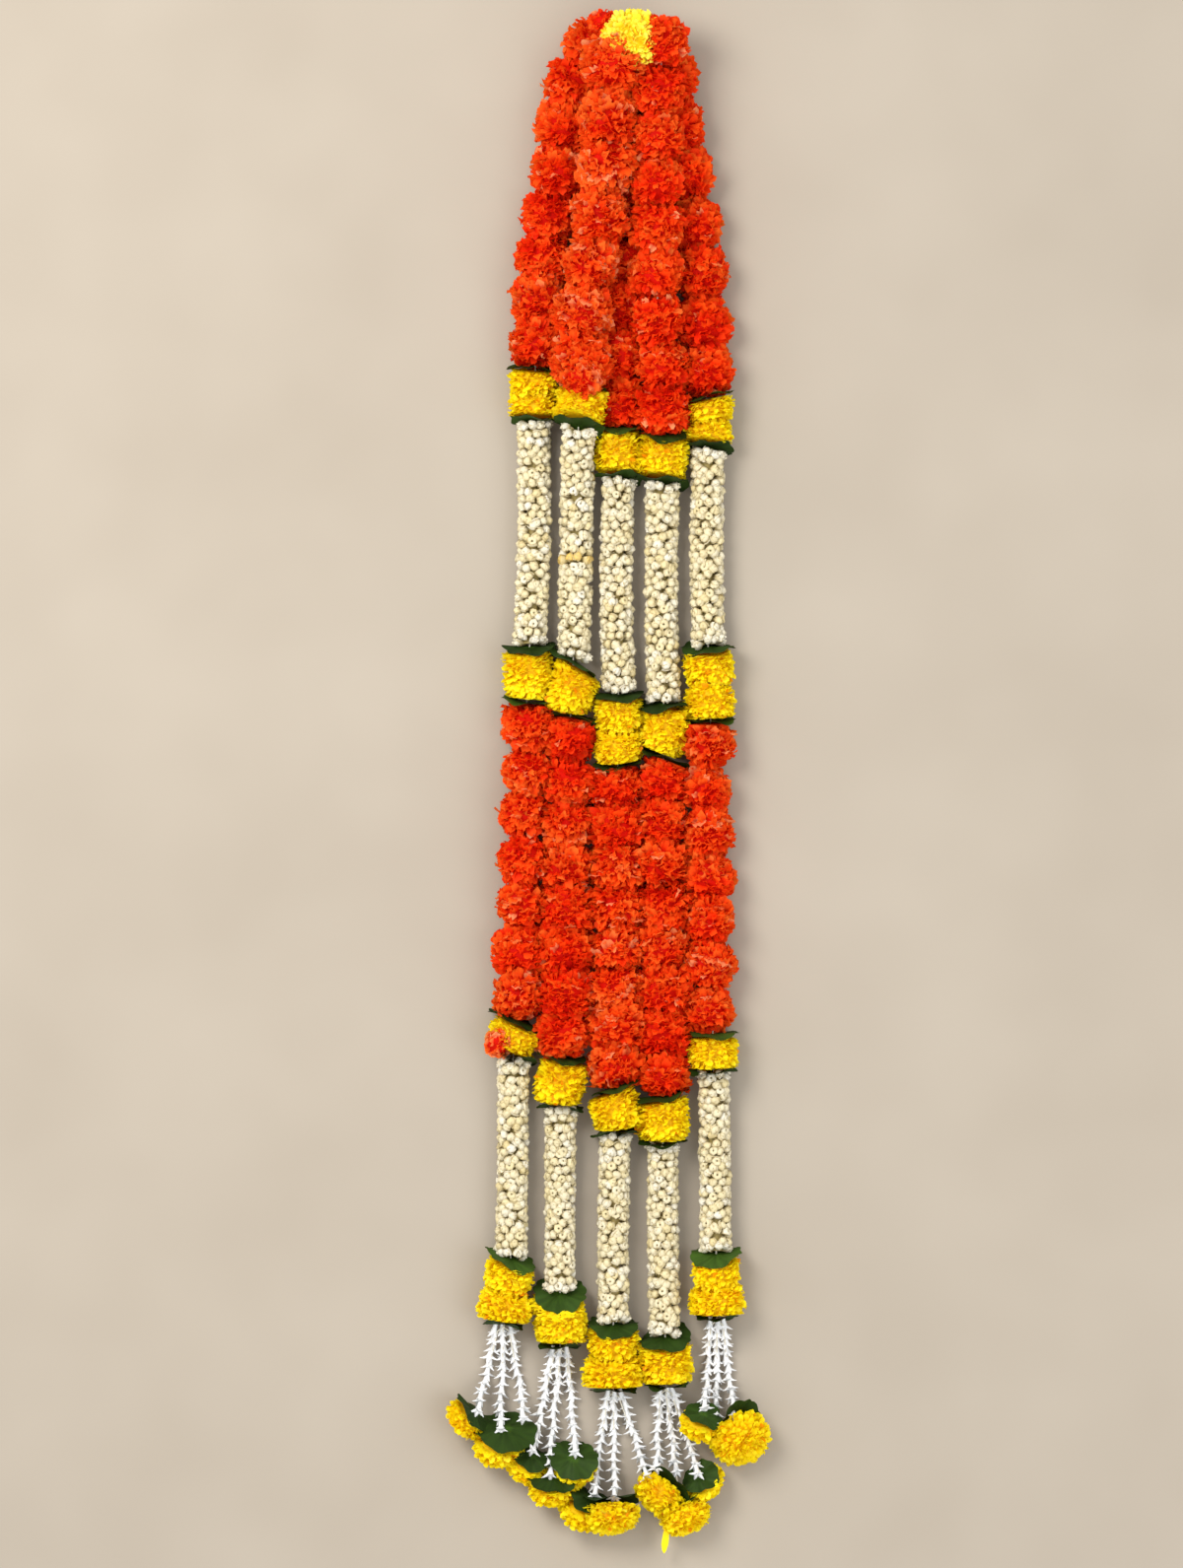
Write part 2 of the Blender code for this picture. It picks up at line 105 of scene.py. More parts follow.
def press(values, limit, margin, side):
    """Values pressed flat before a limit. side is 1 for an upper limit and -1 for a lower one."""
    past = np.maximum(side * (values - limit) + margin, 0.0)
    return np.where(past > 0, limit - side * margin * np.exp(-past / margin), values)


def column(values, count):
    """One value per sheet, shaped to meet a grid of rows and columns."""
    return np.broadcast_to(np.asarray(values, float), (count,)).reshape(count, 1, 1)


def ways_round(turn, first, second):
    """For each turn from first to second, the way out to it and the way along its circle."""
    turn = turn[:, None]
    return np.cos(turn) * first + np.sin(turn) * second, np.cos(turn) * second - np.sin(turn) * first


def round_rows(root, out, along, reach, turn):
    """Rings of corners about out, for closed sheets. Each is as far along it and as far off it as given."""
    first, second = square_ways(out)
    return (
        root[:, None, None]
        + along[..., None] * out[:, None, None]
        + (reach * np.cos(turn))[..., None] * first[:, None, None]
        + (reach * np.sin(turn))[..., None] * second[:, None, None]
    )


class Sheaf:
    """Many small sheets that become one piece. Each has a shade from 0 to 1.

    Every corner is marked with how far along its sheet, across it and up the shades it lies.
    """

    def __init__(self):
        self.points, self.marks, self.cells, self.faces = [], [], [], []
        self.count = 0

    def add(self, points, shade, closed=False, reach=1.0):
        """points is an array of (sheet, row, column, xyz). A closed sheet's last column meets its first."""
        sheets, rows, columns, _ = points.shape
        along = np.linspace(0, reach, rows)[None, :, None]
        across = np.arange(columns) / (columns if closed else columns - 1)
        if closed:
            across = np.abs(2 * across - 1)
        number = np.clip(np.broadcast_to(shade, (sheets,)) * SHADES**2, 0, SHADES**2 - 1).astype(int)
        grid = np.zeros((sheets, rows, columns))
        marks = np.stack((grid + along, grid + across, grid + column(number / SHADES**2, sheets)), -1)
        inside = CELL_EDGE + (1 - 2 * CELL_EDGE) * marks[..., :2][..., ::-1]
        corner = np.stack((number % SHADES, number // SHADES), -1)[:, None, None]
        at = np.arange(sheets * rows * columns).reshape(sheets, rows, columns) + self.count
        after = np.roll(at, -1, 2)
        if not closed:
            at, after = at[:, :, :-1], after[:, :, :-1]
        faces = np.stack((at[:, :-1], after[:, :-1], after[:, 1:], at[:, 1:]), -1)
        self.points.append(points.reshape(-1, 3))
        self.marks.append(marks.reshape(-1, 3))
        self.cells.append(((corner + inside) / SHADES).reshape(-1, 2))
        self.faces.append(faces.reshape(-1, 4))
        self.count += sheets * rows * columns

    def press_behind(self, place, normal):
        """Press the sheets flat where they reach a plane."""
        for points in self.points:
            beyond = (points - place) @ normal
            points += (press(beyond, 0.0, PRESS_HEIGHT, 1) - beyond)[:, None] * normal

    def make(self, name, finish, slot, *nodes):
        """One piece that stands for these CAD nodes."""
        points = np.concatenate(self.points)
        faces = np.concatenate(self.faces)
        heights = press(points[:, 2], SURFACE_GAP, PRESS_HEIGHT, -1)
        points[:, 2] = press(heights, TOP_HEIGHT, PRESS_HEIGHT, 1)
        mesh = bpy.data.meshes.new(name)
        mesh.vertices.add(len(points))
        mesh.vertices.foreach_set("co", points.ravel())
        mesh.loops.add(faces.size)
        mesh.loops.foreach_set("vertex_index", faces.ravel())
        mesh.polygons.add(len(faces))
        mesh.polygons.foreach_set("loop_start", np.arange(0, faces.size, 4))
        mesh.update(calc_edges=True)
        mesh.shade_smooth()
        marks = mesh.attributes.new("mark", "FLOAT_VECTOR", "POINT")
        marks.data.foreach_set("vector", np.concatenate(self.marks).ravel())
        cells = mesh.uv_layers.new(name="OFBake", do_init=False)
        cells.uv.foreach_set("vector", np.concatenate(self.cells)[faces.ravel()].ravel())
        mesh.materials.append(finish)
        piece = bpy.data.objects.new(name, mesh)
        bpy.context.scene.collection.objects.link(piece)
        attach(piece, "root")
        if nodes:
            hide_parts(*nodes)
        return piece


LEAST_CURL = 0.01


def petals(
    root, out, side, length, width, curl, frill, phase,
    rows=4, columns=6, claw=0.35, tip=0.22, waves=1.6, cup=0.0, notch=0.03,
):
    """Petals that leave root along out, lie across side and bend by curl, in radians.

    claw is how wide a petal starts, tip how far its far edge is rounded back, notch how deep that edge is
    cut, waves how many folds frill it and cup how far the sides of the petal bend up.
    """
    count = len(root)
    length, width, curl, frill, phase = (
        column(value, count) for value in (length, width, curl, frill, phase)
    )
    curl = np.where(np.abs(curl) < LEAST_CURL, LEAST_CURL, curl)
    t = np.linspace(0, 1, rows)[None, :, None]
    s = np.linspace(-1, 1, columns)[None, None, :]
    reach = t * (1 - tip * s**2 * t) + notch * t**3 * np.cos(5 * np.pi * s + phase)
    along = length * np.sin(curl * reach) / curl
    rise = length * (1 - np.cos(curl * reach)) / curl
    rise = rise + frill * t**2 * np.sin(np.pi * waves * s + phase) + cup * width * s**2 * t
    across = width / 2 * (claw + (1 - claw) * np.sin(np.pi / 2 * np.minimum(1.2 * t, 1.0))) * s
    over = np.cross(out, side)
    return (
        root[:, None, None]
        + along[..., None] * out[:, None, None]
        + across[..., None] * side[:, None, None]
        + rise[..., None] * over[:, None, None]
    )


def drum_outline(polar, radius, depth, full):
    """How far off its axis and along it a rounded drum reaches, at angles from its face."""
    return radius * np.sin(polar) ** full, depth * np.sign(np.cos(polar)) * np.abs(np.cos(polar)) ** full


def skin_places(radius, depth, spacing, cover, full):
    """Even places on a rounded drum: turns about its axis, and distances from the axis and along it."""
    wide, high = drum_outline(np.radians(np.linspace(*cover, 200)), radius, depth, full)
    bands = np.hypot(np.diff(wide), np.diff(high)) * math.pi * (wide[1:] + wide[:-1])
    area = np.concatenate(([0.0], np.cumsum(bands)))
    count = round(area[-1] / spacing**2)
    want = (np.arange(count) + 0.5) / count * area[-1]
    return np.arange(count) * GOLDEN_ANGLE, np.interp(want, area, wide), np.interp(want, area, high)


DRUM_SIZE = 0.74
DRUM_SHADE = 0.1
DRUM_POLE = 0.001


def drum(sheaf, centre, facing, radius, depth, full):
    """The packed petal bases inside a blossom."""
    polar = np.linspace(DRUM_POLE, math.pi - DRUM_POLE, 8)[None, :, None]
    turn = np.linspace(0, FULL_TURN, 12, endpoint=False)[None, None, :]
    wide, high = drum_outline(polar, radius * DRUM_SIZE, depth * DRUM_SIZE, full)
    sheet = round_rows(centre[None], facing[None], high, wide, turn)
    # The drum's deep red heart colour is partly the bases' own colour and partly painted shade in the gaps
    # between the petals
    sheaf.add(sheet, DRUM_SHADE, closed=True, reach=0.1)


# How a kind of marigold grows. spacing is the gap between petals, cover the angles from its face that they
# fill, full how round (1) or boxy (0) it is and heart where its petals start, from its middle (0) to its
# skin (1). guard counts the broad petals round its back, ragged is how uneven it is, odd the share of stray
# shades, valley how much painted shade darkens it towards its ends, where it meets its neighbours, and
# round and notch shape each petal's edge.
ORANGE_STYLE = dict(
    spacing=0.0057, width=0.0083, cover=(5, 166), full=0.66, heart=0.62, curl=(0.2, 1.3), frill=0.0020,
    waves=1.5, columns=5, guard=11, guard_width=1.5, guard_shade=0.25, ragged=0.10, odd=0.02,
    odd_shade=0.97, valley_shade=0.28, round=0.30, notch=0.02,
)
YELLOW_STYLE = dict(
    spacing=0.0038, width=0.0052, cover=(25, 155), full=0.5, heart=0.74, curl=(0.1, 1.0), frill=0.0008,
    waves=1.0, columns=4, guard=0, guard_width=1.3, guard_shade=0.1, ragged=0.06, odd=0.02,
    odd_shade=0.01, valley_shade=0.0, round=0.22, notch=0.04,
)
FACE_STYLE = dict(YELLOW_STYLE, cover=(0, 118), full=0.75, guard=18)

PETAL_LEAN = 0.9
BENT_BACK_SHARE = 0.75
BEND_STRETCH = 0.12


def skin_petals(sheaf, dice, centre, facing, radius, depth, style, shade):
    """The outer parts of a blossom's petals, spread evenly over it. Most bend back."""
    turn, wide, high = skin_places(radius, depth, style["spacing"], style["cover"], style["full"])
    count = len(turn)
    turn = turn + dice.uniform(0, 0.3, count)
    flat, rim = ways_round(turn, *square_ways(facing))
    skin = wide[:, None] * flat + high[:, None] * facing
    swell = style["ragged"] * np.sin(2 * turn + 3 * high / depth + dice.uniform(0, 6))
    swell = 1 + swell * np.sin(3 * high / depth + dice.uniform(0, 6))
    tip = centre + (swell * dice.uniform(0.88, 1.05, count))[:, None] * skin
    root = centre + style["heart"] * (tip - centre)
    out = unit(tip - root + dice.normal(0, 0.0016, (count, 3)))
    aside, other = square_ways(out)
    lean = np.arctan2((rim * other).sum(1), (rim * aside).sum(1))
    lean = lean + dice.uniform(-1, 1, count) * PETAL_LEAN
    side = np.cos(lean)[:, None] * aside + np.sin(lean)[:, None] * other
    curl = dice.uniform(*style["curl"], count) * np.where(dice.random(count) < BENT_BACK_SHARE, -1, 1)
    length = np.linalg.norm(tip - root, axis=1) * (1 + BEND_STRETCH * curl**2)
    width = style["width"] * dice.uniform(0.75, 1.25, count)
    frill = style["frill"] * dice.uniform(0.6, 1.4, count)
    sheet = petals(
        root, out, side, length, width, curl, frill, dice.uniform(0, ANY_TURN, count),
        rows=3, columns=style["columns"], claw=0.6, waves=style["waves"], tip=style["round"],
        notch=style["notch"],
    )
    # Painted shade: petals get darker towards the blossom's ends, where it meets the blossoms beside it
    shades = shade - style["valley_shade"] * (high / depth) ** 2 + dice.normal(0, 0.13, count)
    shades = np.where(dice.random(count) < style["odd"], style["odd_shade"], shades)
    sheaf.add(sheet, np.clip(shades, 0.01, 0.99))


def guard_petals(sheaf, dice, centre, facing, radius, depth, style, shade):
    """The broad petals that stand out round the back of a blossom."""
    count = style["guard"]
    turn = np.arange(count) * FULL_TURN / count + dice.uniform(-0.15, 0.15, count)
    flat, rim = ways_round(turn, *square_ways(facing))
    polar = np.radians(dice.uniform(78, 115, count))[:, None]
    grow = dice.uniform(0.95, 1.10, count)[:, None]
    tip = centre + radius * np.sin(polar) * flat * grow + depth * np.cos(polar) * facing
    root = centre - 0.5 * depth * facing + 0.45 * radius * flat
    width = style["width"] * style["guard_width"] * dice.uniform(0.85, 1.2, count)
    curl = dice.uniform(-0.6, 0.6, count)
    sheet = petals(
        root, unit(tip - root), rim, np.linalg.norm(tip - root, axis=1), width, curl, style["frill"] * 0.7,
        dice.uniform(0, ANY_TURN, count), waves=2.0,
    )
    sheaf.add(sheet, np.clip(shade + style["guard_shade"] + dice.normal(0, 0.1, count), 0.01, 0.99))


def marigold(sheaf, dice, centre, facing, radius, depth, style, shade):
    """One double marigold: a ball or drum of packed petals. depth is half its height."""
    centre, facing = np.asarray(centre, float), unit(np.asarray(facing, float))
    skin_petals(sheaf, dice, centre, facing, radius, depth, style, shade)
    drum(sheaf, centre, facing, radius, depth, style["full"])
    if style["guard"]:
        guard_petals(sheaf, dice, centre, facing, radius, depth, style, shade)


LEAF_SCALLOPS = 11
LEAF_WAVE = 0.0028


def leaf(sheaf, dice, centre, normal, radius, shade, droop, wave=LEAF_WAVE):
    """One round leaf with a scalloped edge, pierced by the thread."""
    centre, normal = np.asarray(centre, float), unit(np.asarray(normal, float))
    turn = np.linspace(0, FULL_TURN, 44, endpoint=False)[None, :]
    t = np.linspace(0.03, 1, 5)[:, None]
    lobes = 1 + 0.11 * t**3 * np.abs(np.sin(LEAF_SCALLOPS * turn / 2 + dice.uniform(0, 3)))
    oval = 1 + 0.06 * np.cos(2 * (turn - dice.uniform(0, 3)))
    reach = radius * t * lobes * oval
    waves = np.sin(2 * turn + dice.uniform(0, 6)) + 0.6 * np.sin(5 * turn + dice.uniform(0, 6))
    lift = wave * t**1.5 * waves - droop * radius * t**2
    sheet = round_rows(centre[None], normal[None], lift[None], reach[None], turn[None])
    sheaf.add(sheet, shade, closed=True)


# Outlines of a jasmine bud from its tube to its tip, as parts of its length and of its radius
SHUT_BUD = np.array(((0.00, 0.30), (0.30, 0.55), (0.58, 0.95), (0.84, 0.92), (1.0, 0.50), (1.04, 0.02)))
OPEN_BUD = np.array(((0.00, 0.30), (0.30, 0.50), (0.62, 0.86), (0.92, 0.94), (1.0, 0.58), (0.86, 0.16)))
OPEN_SHARE = 0.18
BUD_SIDES = 6
BUD_TWIST = 1.5
LOOSE_PETALS = 2


def buds(sheaf, dice, root, out, length, radius, shade):
    """Round jasmine buds on short tubes, lapped in a spiral, each with its looser petals."""
    count = len(root)
    profile = np.where(column(dice.random(count) < OPEN_SHARE, count), OPEN_BUD, SHUT_BUD)
    level, girth = profile[..., 0, None], profile[..., 1, None]
    lap = np.arange(BUD_SIDES)[None, None, :] / BUD_SIDES
    turn = FULL_TURN * lap + column(dice.uniform(0, ANY_TURN, count), count) + BUD_TWIST * level
    folds = 0.82 + 0.36 * lap + 0.08 * np.cos(2 * FULL_TURN * lap)
    reach = girth * column(radius, count) * folds
    along = level * column(length, count) * (0.94 + 0.13 * lap)
    sheaf.add(round_rows(root, out, along, reach, turn), shade, closed=True)
    first, second = square_ways(out)
    start = dice.uniform(0, ANY_TURN, count)
    for petal in range(LOOSE_PETALS):
        flat, side = ways_round(start + petal * FULL_TURN / LOOSE_PETALS, first, second)
        foot = root + (0.34 * length)[:, None] * out + (0.72 * radius)[:, None] * flat
        way = unit(out + dice.uniform(0.3, 0.8, count)[:, None] * flat)
        sheet = petals(
            foot, way, side, length * 0.66, radius * 1.9, dice.uniform(0.9, 1.5, count), 0.0, 0.0,
            rows=3, columns=4, claw=0.7, tip=0.35, cup=0.3, notch=0.0,
        )
        sheaf.add(sheet, np.clip(shade + 0.12, 0, 0.99))


def tubes(sheaf, root, out, length, radii, shade):
    """Six-sided tubes along out whose radii are given at even steps."""
    along = np.linspace(0, 1, len(radii))[None, :, None] * column(length, len(root))
    turn = np.linspace(0, FULL_TURN, 6, endpoint=False)[None, None, :]
    sheaf.add(round_rows(root, out, along, np.asarray(radii)[None, :, None], turn), shade, closed=True)


LOBES = 5


def stars(sheaf, dice, root, out, length, width, shade, open_angle, curl):
    """Pointed lobes round out, as on an open jasmine flower."""
    count = len(root)
    first, second = square_ways(out)
    start = dice.uniform(0, ANY_TURN, count)
    for lobe in range(LOBES):
        turn = start + lobe * FULL_TURN / LOBES + dice.uniform(-0.15, 0.15, count)
        flat, side = ways_round(turn, first, second)
        lean = open_angle + dice.uniform(-0.2, 0.2, count)[:, None]
        way = unit(np.cos(lean) * out + np.sin(lean) * flat)
        sheet = petals(
            root, way, side, length, width, curl, 0.0, 0.0,
            columns=4, tip=0.85, cup=-0.12, notch=0.0,
        )
        sheaf.add(sheet, shade)


def spikes(sheaf, dice, root, out, length, radius, shade, open_angle, curl):
    """Thick pointed lobes that bend back, round the mouth of a tuberose floret."""
    count = len(root)
    first, second = square_ways(out)
    start = dice.uniform(0, ANY_TURN, count)
    t = np.linspace(0, 1, 4)[None, :, None]
    around = np.linspace(0, FULL_TURN, 4, endpoint=False)[None, None, :]
    thick = radius * (1 - 0.88 * t**1.4)
    for lobe in range(LOBES):
        turn = start + lobe * FULL_TURN / LOBES + dice.uniform(-0.2, 0.2, count)
        flat, side = ways_round(turn, first, second)
        lean = open_angle + dice.uniform(-0.25, 0.25, count)[:, None]
        way = unit(np.cos(lean) * out + np.sin(lean) * flat)
        over = np.cross(way, side)
        bend = column(curl + dice.uniform(-0.3, 0.3, count), count)
        size = length * column(dice.uniform(0.8, 1.15, count), count)
        along = size * np.sin(bend * t) / bend
        rise = size * (1 - np.cos(bend * t)) / bend + 0.6 * thick * np.sin(around)
        sheet = (
            root[:, None, None]
            + (along + 0 * around)[..., None] * way[:, None, None]
            + (thick * np.cos(around) + 0 * along)[..., None] * side[:, None, None]
            + rise[..., None] * over[:, None, None]
        )
        sheaf.add(sheet, shade, closed=True)


# Finishes


class Finish:
    """A material with short ways to add and join its nodes."""

    def __init__(self, name, tree=None):
        if tree is None:
            self.material = bpy.data.materials.new(name)
            self.material.use_nodes = True
            tree = self.material.node_tree
            self.shader = tree.nodes["Principled BSDF"]
        self.tree = tree

    def node(self, kind, inputs=None, **settings):
        """A node of this kind with these inputs, which are numbers or other nodes' outputs."""
        made = self.tree.nodes.new(kind)
        for name, value in settings.items():
            setattr(made, name, value)
        for name, value in (inputs or {}).items():
            self.join(value, made.inputs[name])
        return made

    def join(self, value, socket):
        if isinstance(value, bpy.types.NodeSocket):
            self.tree.links.new(value, socket)
        else:
            socket.default_value = value

    def maths(self, operation, first, second=0.0):
        return self.node("ShaderNodeMath", {0: first, 1: second}, operation=operation).outputs[0]

    def ramp(self, value, stops):
        """A colour that runs through (place, colour) stops with a value."""
        made = self.node("ShaderNodeValToRGB", {"Fac": value})
        points = made.color_ramp.elements
        while len(points) < len(stops):
            points.new(0.5)
        for point, (place, colour) in zip(points, stops):
            point.position = place
            point.color = (*colour, 1.0)
        return made.outputs["Color"]

    def mix(self, factor, first, second, blend="MIX"):
        made = self.node("ShaderNodeMix", data_type="RGBA", blend_type=blend)
        for index, value in ((0, factor), (6, first), (7, second)):
            if isinstance(value, tuple):
                value = (*value, 1.0)
            self.join(value, made.inputs[index])
        return made.outputs[2]

    def spans(self, value, low, high, start=0.0, end=1.0):
        """A number that goes from start to end as a value goes from low to high."""
        made = self.node("ShaderNodeMapRange", {"Value": value, 1: low, 2: high, 3: start, 4: end})
        return made.outputs[0]


# How far apart the grain of sheets of unlike shade lies, and how often a streak changes along its sheet
SHADE_STEP = 91.0
STREAK_BREAKS = 1.4


def make_grain():
    """Streaks that run along a sheet and soft blotches on it, different on each shade of sheet."""
    tree = bpy.data.node_groups.new("sheet_grain", "ShaderNodeTree")
    tree.interface.new_socket("Mark", in_out="INPUT", socket_type="NodeSocketVector")
    for name in ("Streaks", "Blotches"):
        tree.interface.new_socket(name, in_out="INPUT", socket_type="NodeSocketFloat")
    for name in ("Streak", "Blotch"):
        tree.interface.new_socket(name, in_out="OUTPUT", socket_type="NodeSocketFloat")
    group = Finish("", tree)
    given = group.node("NodeGroupInput").outputs
    parts = group.node("ShaderNodeSeparateXYZ", {0: given["Mark"]}).outputs
    along, across, shade = parts[0], parts[1], parts[2]
    level = group.maths("MULTIPLY", shade, SHADE_STEP)
    lines = group.node("ShaderNodeCombineXYZ", {
        0: group.maths("MULTIPLY", across, given["Streaks"]),
        1: group.maths("MULTIPLY", along, STREAK_BREAKS),
        2: level,
    })
    clouds = group.node("ShaderNodeCombineXYZ", {
        0: group.maths("MULTIPLY", across, given["Blotches"]),
        1: group.maths("MULTIPLY", along, given["Blotches"]),
        2: level,
    })
    ends = group.node("NodeGroupOutput").inputs
    for end, place in (("Streak", lines), ("Blotch", clouds)):
        noise = group.node("ShaderNodeTexNoise", {"Vector": place.outputs[0], "Scale": 1.0, "Detail": 2.0})
        group.join(noise.outputs[0], ends[end])
    return tree


GRAIN = make_grain()


BLOTCHES = 3.0
VEIN_HEIGHT = 0.0004


def sheet_finish(
    name, tones, heart, heart_end, streaks, streak_depth, roughness, bump,
    heart_start=0.0, edge=None, crease_shade=None, glow=0.0, gloss=0.3,
):
    """A finish of petals, buds or leaves, coloured by shade and streaked along, with raised veins.

    heart is the colour of its inner part, which fades from heart_start to heart_end. On the orange petals
    and the jasmine buds it is darker, partly their own colour and partly painted shade deep among them.
    edge and crease are each a place on the sheet and the colour beyond it, at its far end and at its side:
    painted shade in a bud's mouth and in the folds where it is lapped. glow is how much light comes
    through.
    """
    finish = Finish(name)
    mark = finish.node("ShaderNodeAttribute", attribute_name="mark").outputs["Vector"]
    parts = finish.node("ShaderNodeSeparateXYZ", {0: mark}).outputs
    along, across, shade = parts[0], parts[1], parts[2]
    grain = finish.node("ShaderNodeGroup", node_tree=GRAIN)
    for key, value in (("Mark", mark), ("Streaks", streaks), ("Blotches", BLOTCHES)):
        finish.join(value, grain.inputs[key])
    streak, blotch = grain.outputs["Streak"], grain.outputs["Blotch"]
    colour = finish.ramp(shade, tones)
    colour = finish.mix(finish.spans(along, heart_start, heart_end, 1.0, 0.0), colour, heart)
    # Painted shade in the mouth at the far end of a sheet, on some sheets only, as the blotches fall
    if edge:
        start, tone = edge
        some = finish.spans(blotch, 0.44, 0.54)
        colour = finish.mix(finish.maths("MULTIPLY", finish.spans(along, start, 1.0), some), colour, tone)
    # Painted shade along one side of a sheet, in the folds where a jasmine bud is lapped
    if crease_shade:
        start, tone = crease_shade
        colour = finish.mix(finish.spans(across, start, 1.0), colour, tone)
    depth = finish.spans(streak, 0.35, 0.65, 1.0 - streak_depth, 1.0)
    depth = finish.maths("MULTIPLY", depth, finish.spans(blotch, 0.35, 0.65, 0.94, 1.0))
    grey = finish.node("ShaderNodeCombineColor", {0: depth, 1: depth, 2: depth}).outputs[0]
    colour = finish.mix(1.0, colour, grey, "MULTIPLY")
    rough = finish.spans(blotch, 0.3, 0.7, roughness - 0.06, roughness + 0.08)
    veins = finish.node("ShaderNodeBump", {"Height": streak, "Strength": bump, "Distance": VEIN_HEIGHT})
    finish.join(colour, finish.shader.inputs["Base Color"])
    finish.join(rough, finish.shader.inputs["Roughness"])
    finish.join(veins.outputs[0], finish.shader.inputs["Normal"])
    finish.shader.inputs["Specular IOR Level"].default_value = gloss
    if glow:
        through = finish.node("ShaderNodeBsdfTranslucent", {"Color": colour, "Normal": veins.outputs[0]})
        inputs = {0: glow, 1: finish.shader.outputs[0], 2: through.outputs[0]}
        both = finish.node("ShaderNodeMixShader", inputs)
        finish.join(both.outputs[0], finish.tree.nodes["Material Output"].inputs["Surface"])
    return finish.material


# The orange petals' heart, deep red at their roots and fading towards their tips, is partly their own
# colour and partly painted shade deep inside the blossom
ORANGE = sheet_finish(
    "orange_petal",
    (
        (0.0, (0.94, 0.030, 0.002)), (0.28, (1.0, 0.062, 0.004)), (0.52, (1.0, 0.115, 0.007)),
        (0.78, (1.0, 0.200, 0.022)), (1.0, (1.0, 0.40, 0.17)),
    ),
    heart=(0.80, 0.009, 0.001), heart_end=0.75, streaks=9.0, streak_depth=0.08, roughness=0.65, bump=0.35,
    heart_start=0.05, glow=0.5, gloss=0.1,
)
YELLOW = sheet_finish(
    "yellow_petal",
    (
        (0.0, (1.0, 0.38, 0.001)), (0.07, (1.0, 0.70, 0.001)), (0.5, (1.0, 0.82, 0.003)),
        (0.85, (1.0, 0.88, 0.012)), (1.0, (1.0, 0.94, 0.09)),
    ),
    heart=(1.0, 0.62, 0.001), heart_end=0.5, streaks=7.0, streak_depth=0.07, roughness=0.6, bump=0.35,
    heart_start=0.05, glow=0.35, gloss=0.2,
)
LEMON = sheet_finish(
    "lemon_petal",
    ((0.0, (0.92, 0.66, 0.004)), (0.4, (0.98, 0.80, 0.020)), (1.0, (1.0, 0.94, 0.14))),
    heart=(0.95, 0.62, 0.002), heart_end=0.6, streaks=7.0, streak_depth=0.07, roughness=0.6, bump=0.35,
    heart_start=0.05, glow=0.35, gloss=0.2,
)
# The buds' heart, brown at their bases, is painted shade where they meet the core
CREAM = sheet_finish(
    "jasmine_bud",
    (
        (0.0, (0.87, 0.58, 0.13)), (0.08, (0.76, 0.61, 0.29)), (0.35, (0.81, 0.69, 0.39)),
        (0.7, (0.85, 0.76, 0.52)), (1.0, (0.90, 0.85, 0.71)),
    ),
    heart=(0.47, 0.36, 0.12), heart_end=0.55, streaks=5.0, streak_depth=0.12, roughness=0.42, bump=0.6,
    edge=(0.92, (0.42, 0.34, 0.16)), crease_shade=(0.84, (0.62, 0.50, 0.26)), glow=0.25,
)
WHITE = sheet_finish(
    "tuberose_floret",
    ((0.0, (0.66, 0.66, 0.65)), (0.5, (0.75, 0.75, 0.75)), (1.0, (0.84, 0.84, 0.84))),
    heart=(0.84, 0.86, 0.82), heart_end=0.3, streaks=5.0, streak_depth=0.08, roughness=0.42, bump=0.3,
)
LEAF = sheet_finish(
    "leaf",
    ((0.0, (0.012, 0.026, 0.003)), (0.5, (0.025, 0.054, 0.006)), (1.0, (0.075, 0.155, 0.018))),
    heart=(0.05, 0.11, 0.01), heart_end=0.3, streaks=14.0, streak_depth=0.3, roughness=0.6, bump=0.6,
    gloss=0.1,
)


def cotton_finish():
    """Off-white cotton with slanted bands where its strands are twisted."""
    finish = Finish("cotton_thread")
    place = finish.node("ShaderNodeTexCoord").outputs["Object"]
    inputs = {"Vector": place, "Scale": 900.0, "Distortion": 1.5}
    twist = finish.node("ShaderNodeTexWave", inputs, bands_direction="DIAGONAL").outputs["Fac"]
    colour = finish.ramp(twist, ((0.0, (0.55, 0.50, 0.38)), (1.0, (0.84, 0.80, 0.68))))
    finish.join(colour, finish.shader.inputs["Base Color"])
    raised = finish.node("ShaderNodeBump", {"Height": twist, "Strength": 0.5, "Distance": 0.0003})
    finish.join(raised.outputs[0], finish.shader.inputs["Normal"])
    finish.shader.inputs["Roughness"].default_value = 0.9
    return finish.material


# Routes


WAY_STEP = 0.008


def corners_of(node):
    """The corners of a CAD node's mesh."""
    return np.array([corner.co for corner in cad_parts[node].data.vertices], float)


def middle_of(node):
    """The middle of a CAD node's box."""
    low, high = (np.array(corner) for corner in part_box(node))
    return (low + high) / 2


class Route:
    """The middle line of a run, read from the rings of its CAD solid."""

    def __init__(self, node):
        corners = corners_of(node)
        levels = np.round(corners[:, 1], 5)
        self.places = np.unique(levels)
        middles = []
        for level in self.places:
            ring = corners[levels == level]
            middles.append((ring.min(0) + ring.max(0)) / 2)
        self.middles = np.array(middles)
        self.low, self.high = self.places[0], self.places[-1]

    def at(self, y):
        y = np.asarray(y, float)
        return np.stack([np.interp(y, self.places, self.middles[:, axis]) for axis in (0, 1, 2)], -1)

    def way(self, y):
        """The way along the run at y, towards the tied end."""
        y = np.clip(y, self.low + WAY_STEP, self.high - WAY_STEP)
        return unit(self.at(y + WAY_STEP) - self.at(y - WAY_STEP))


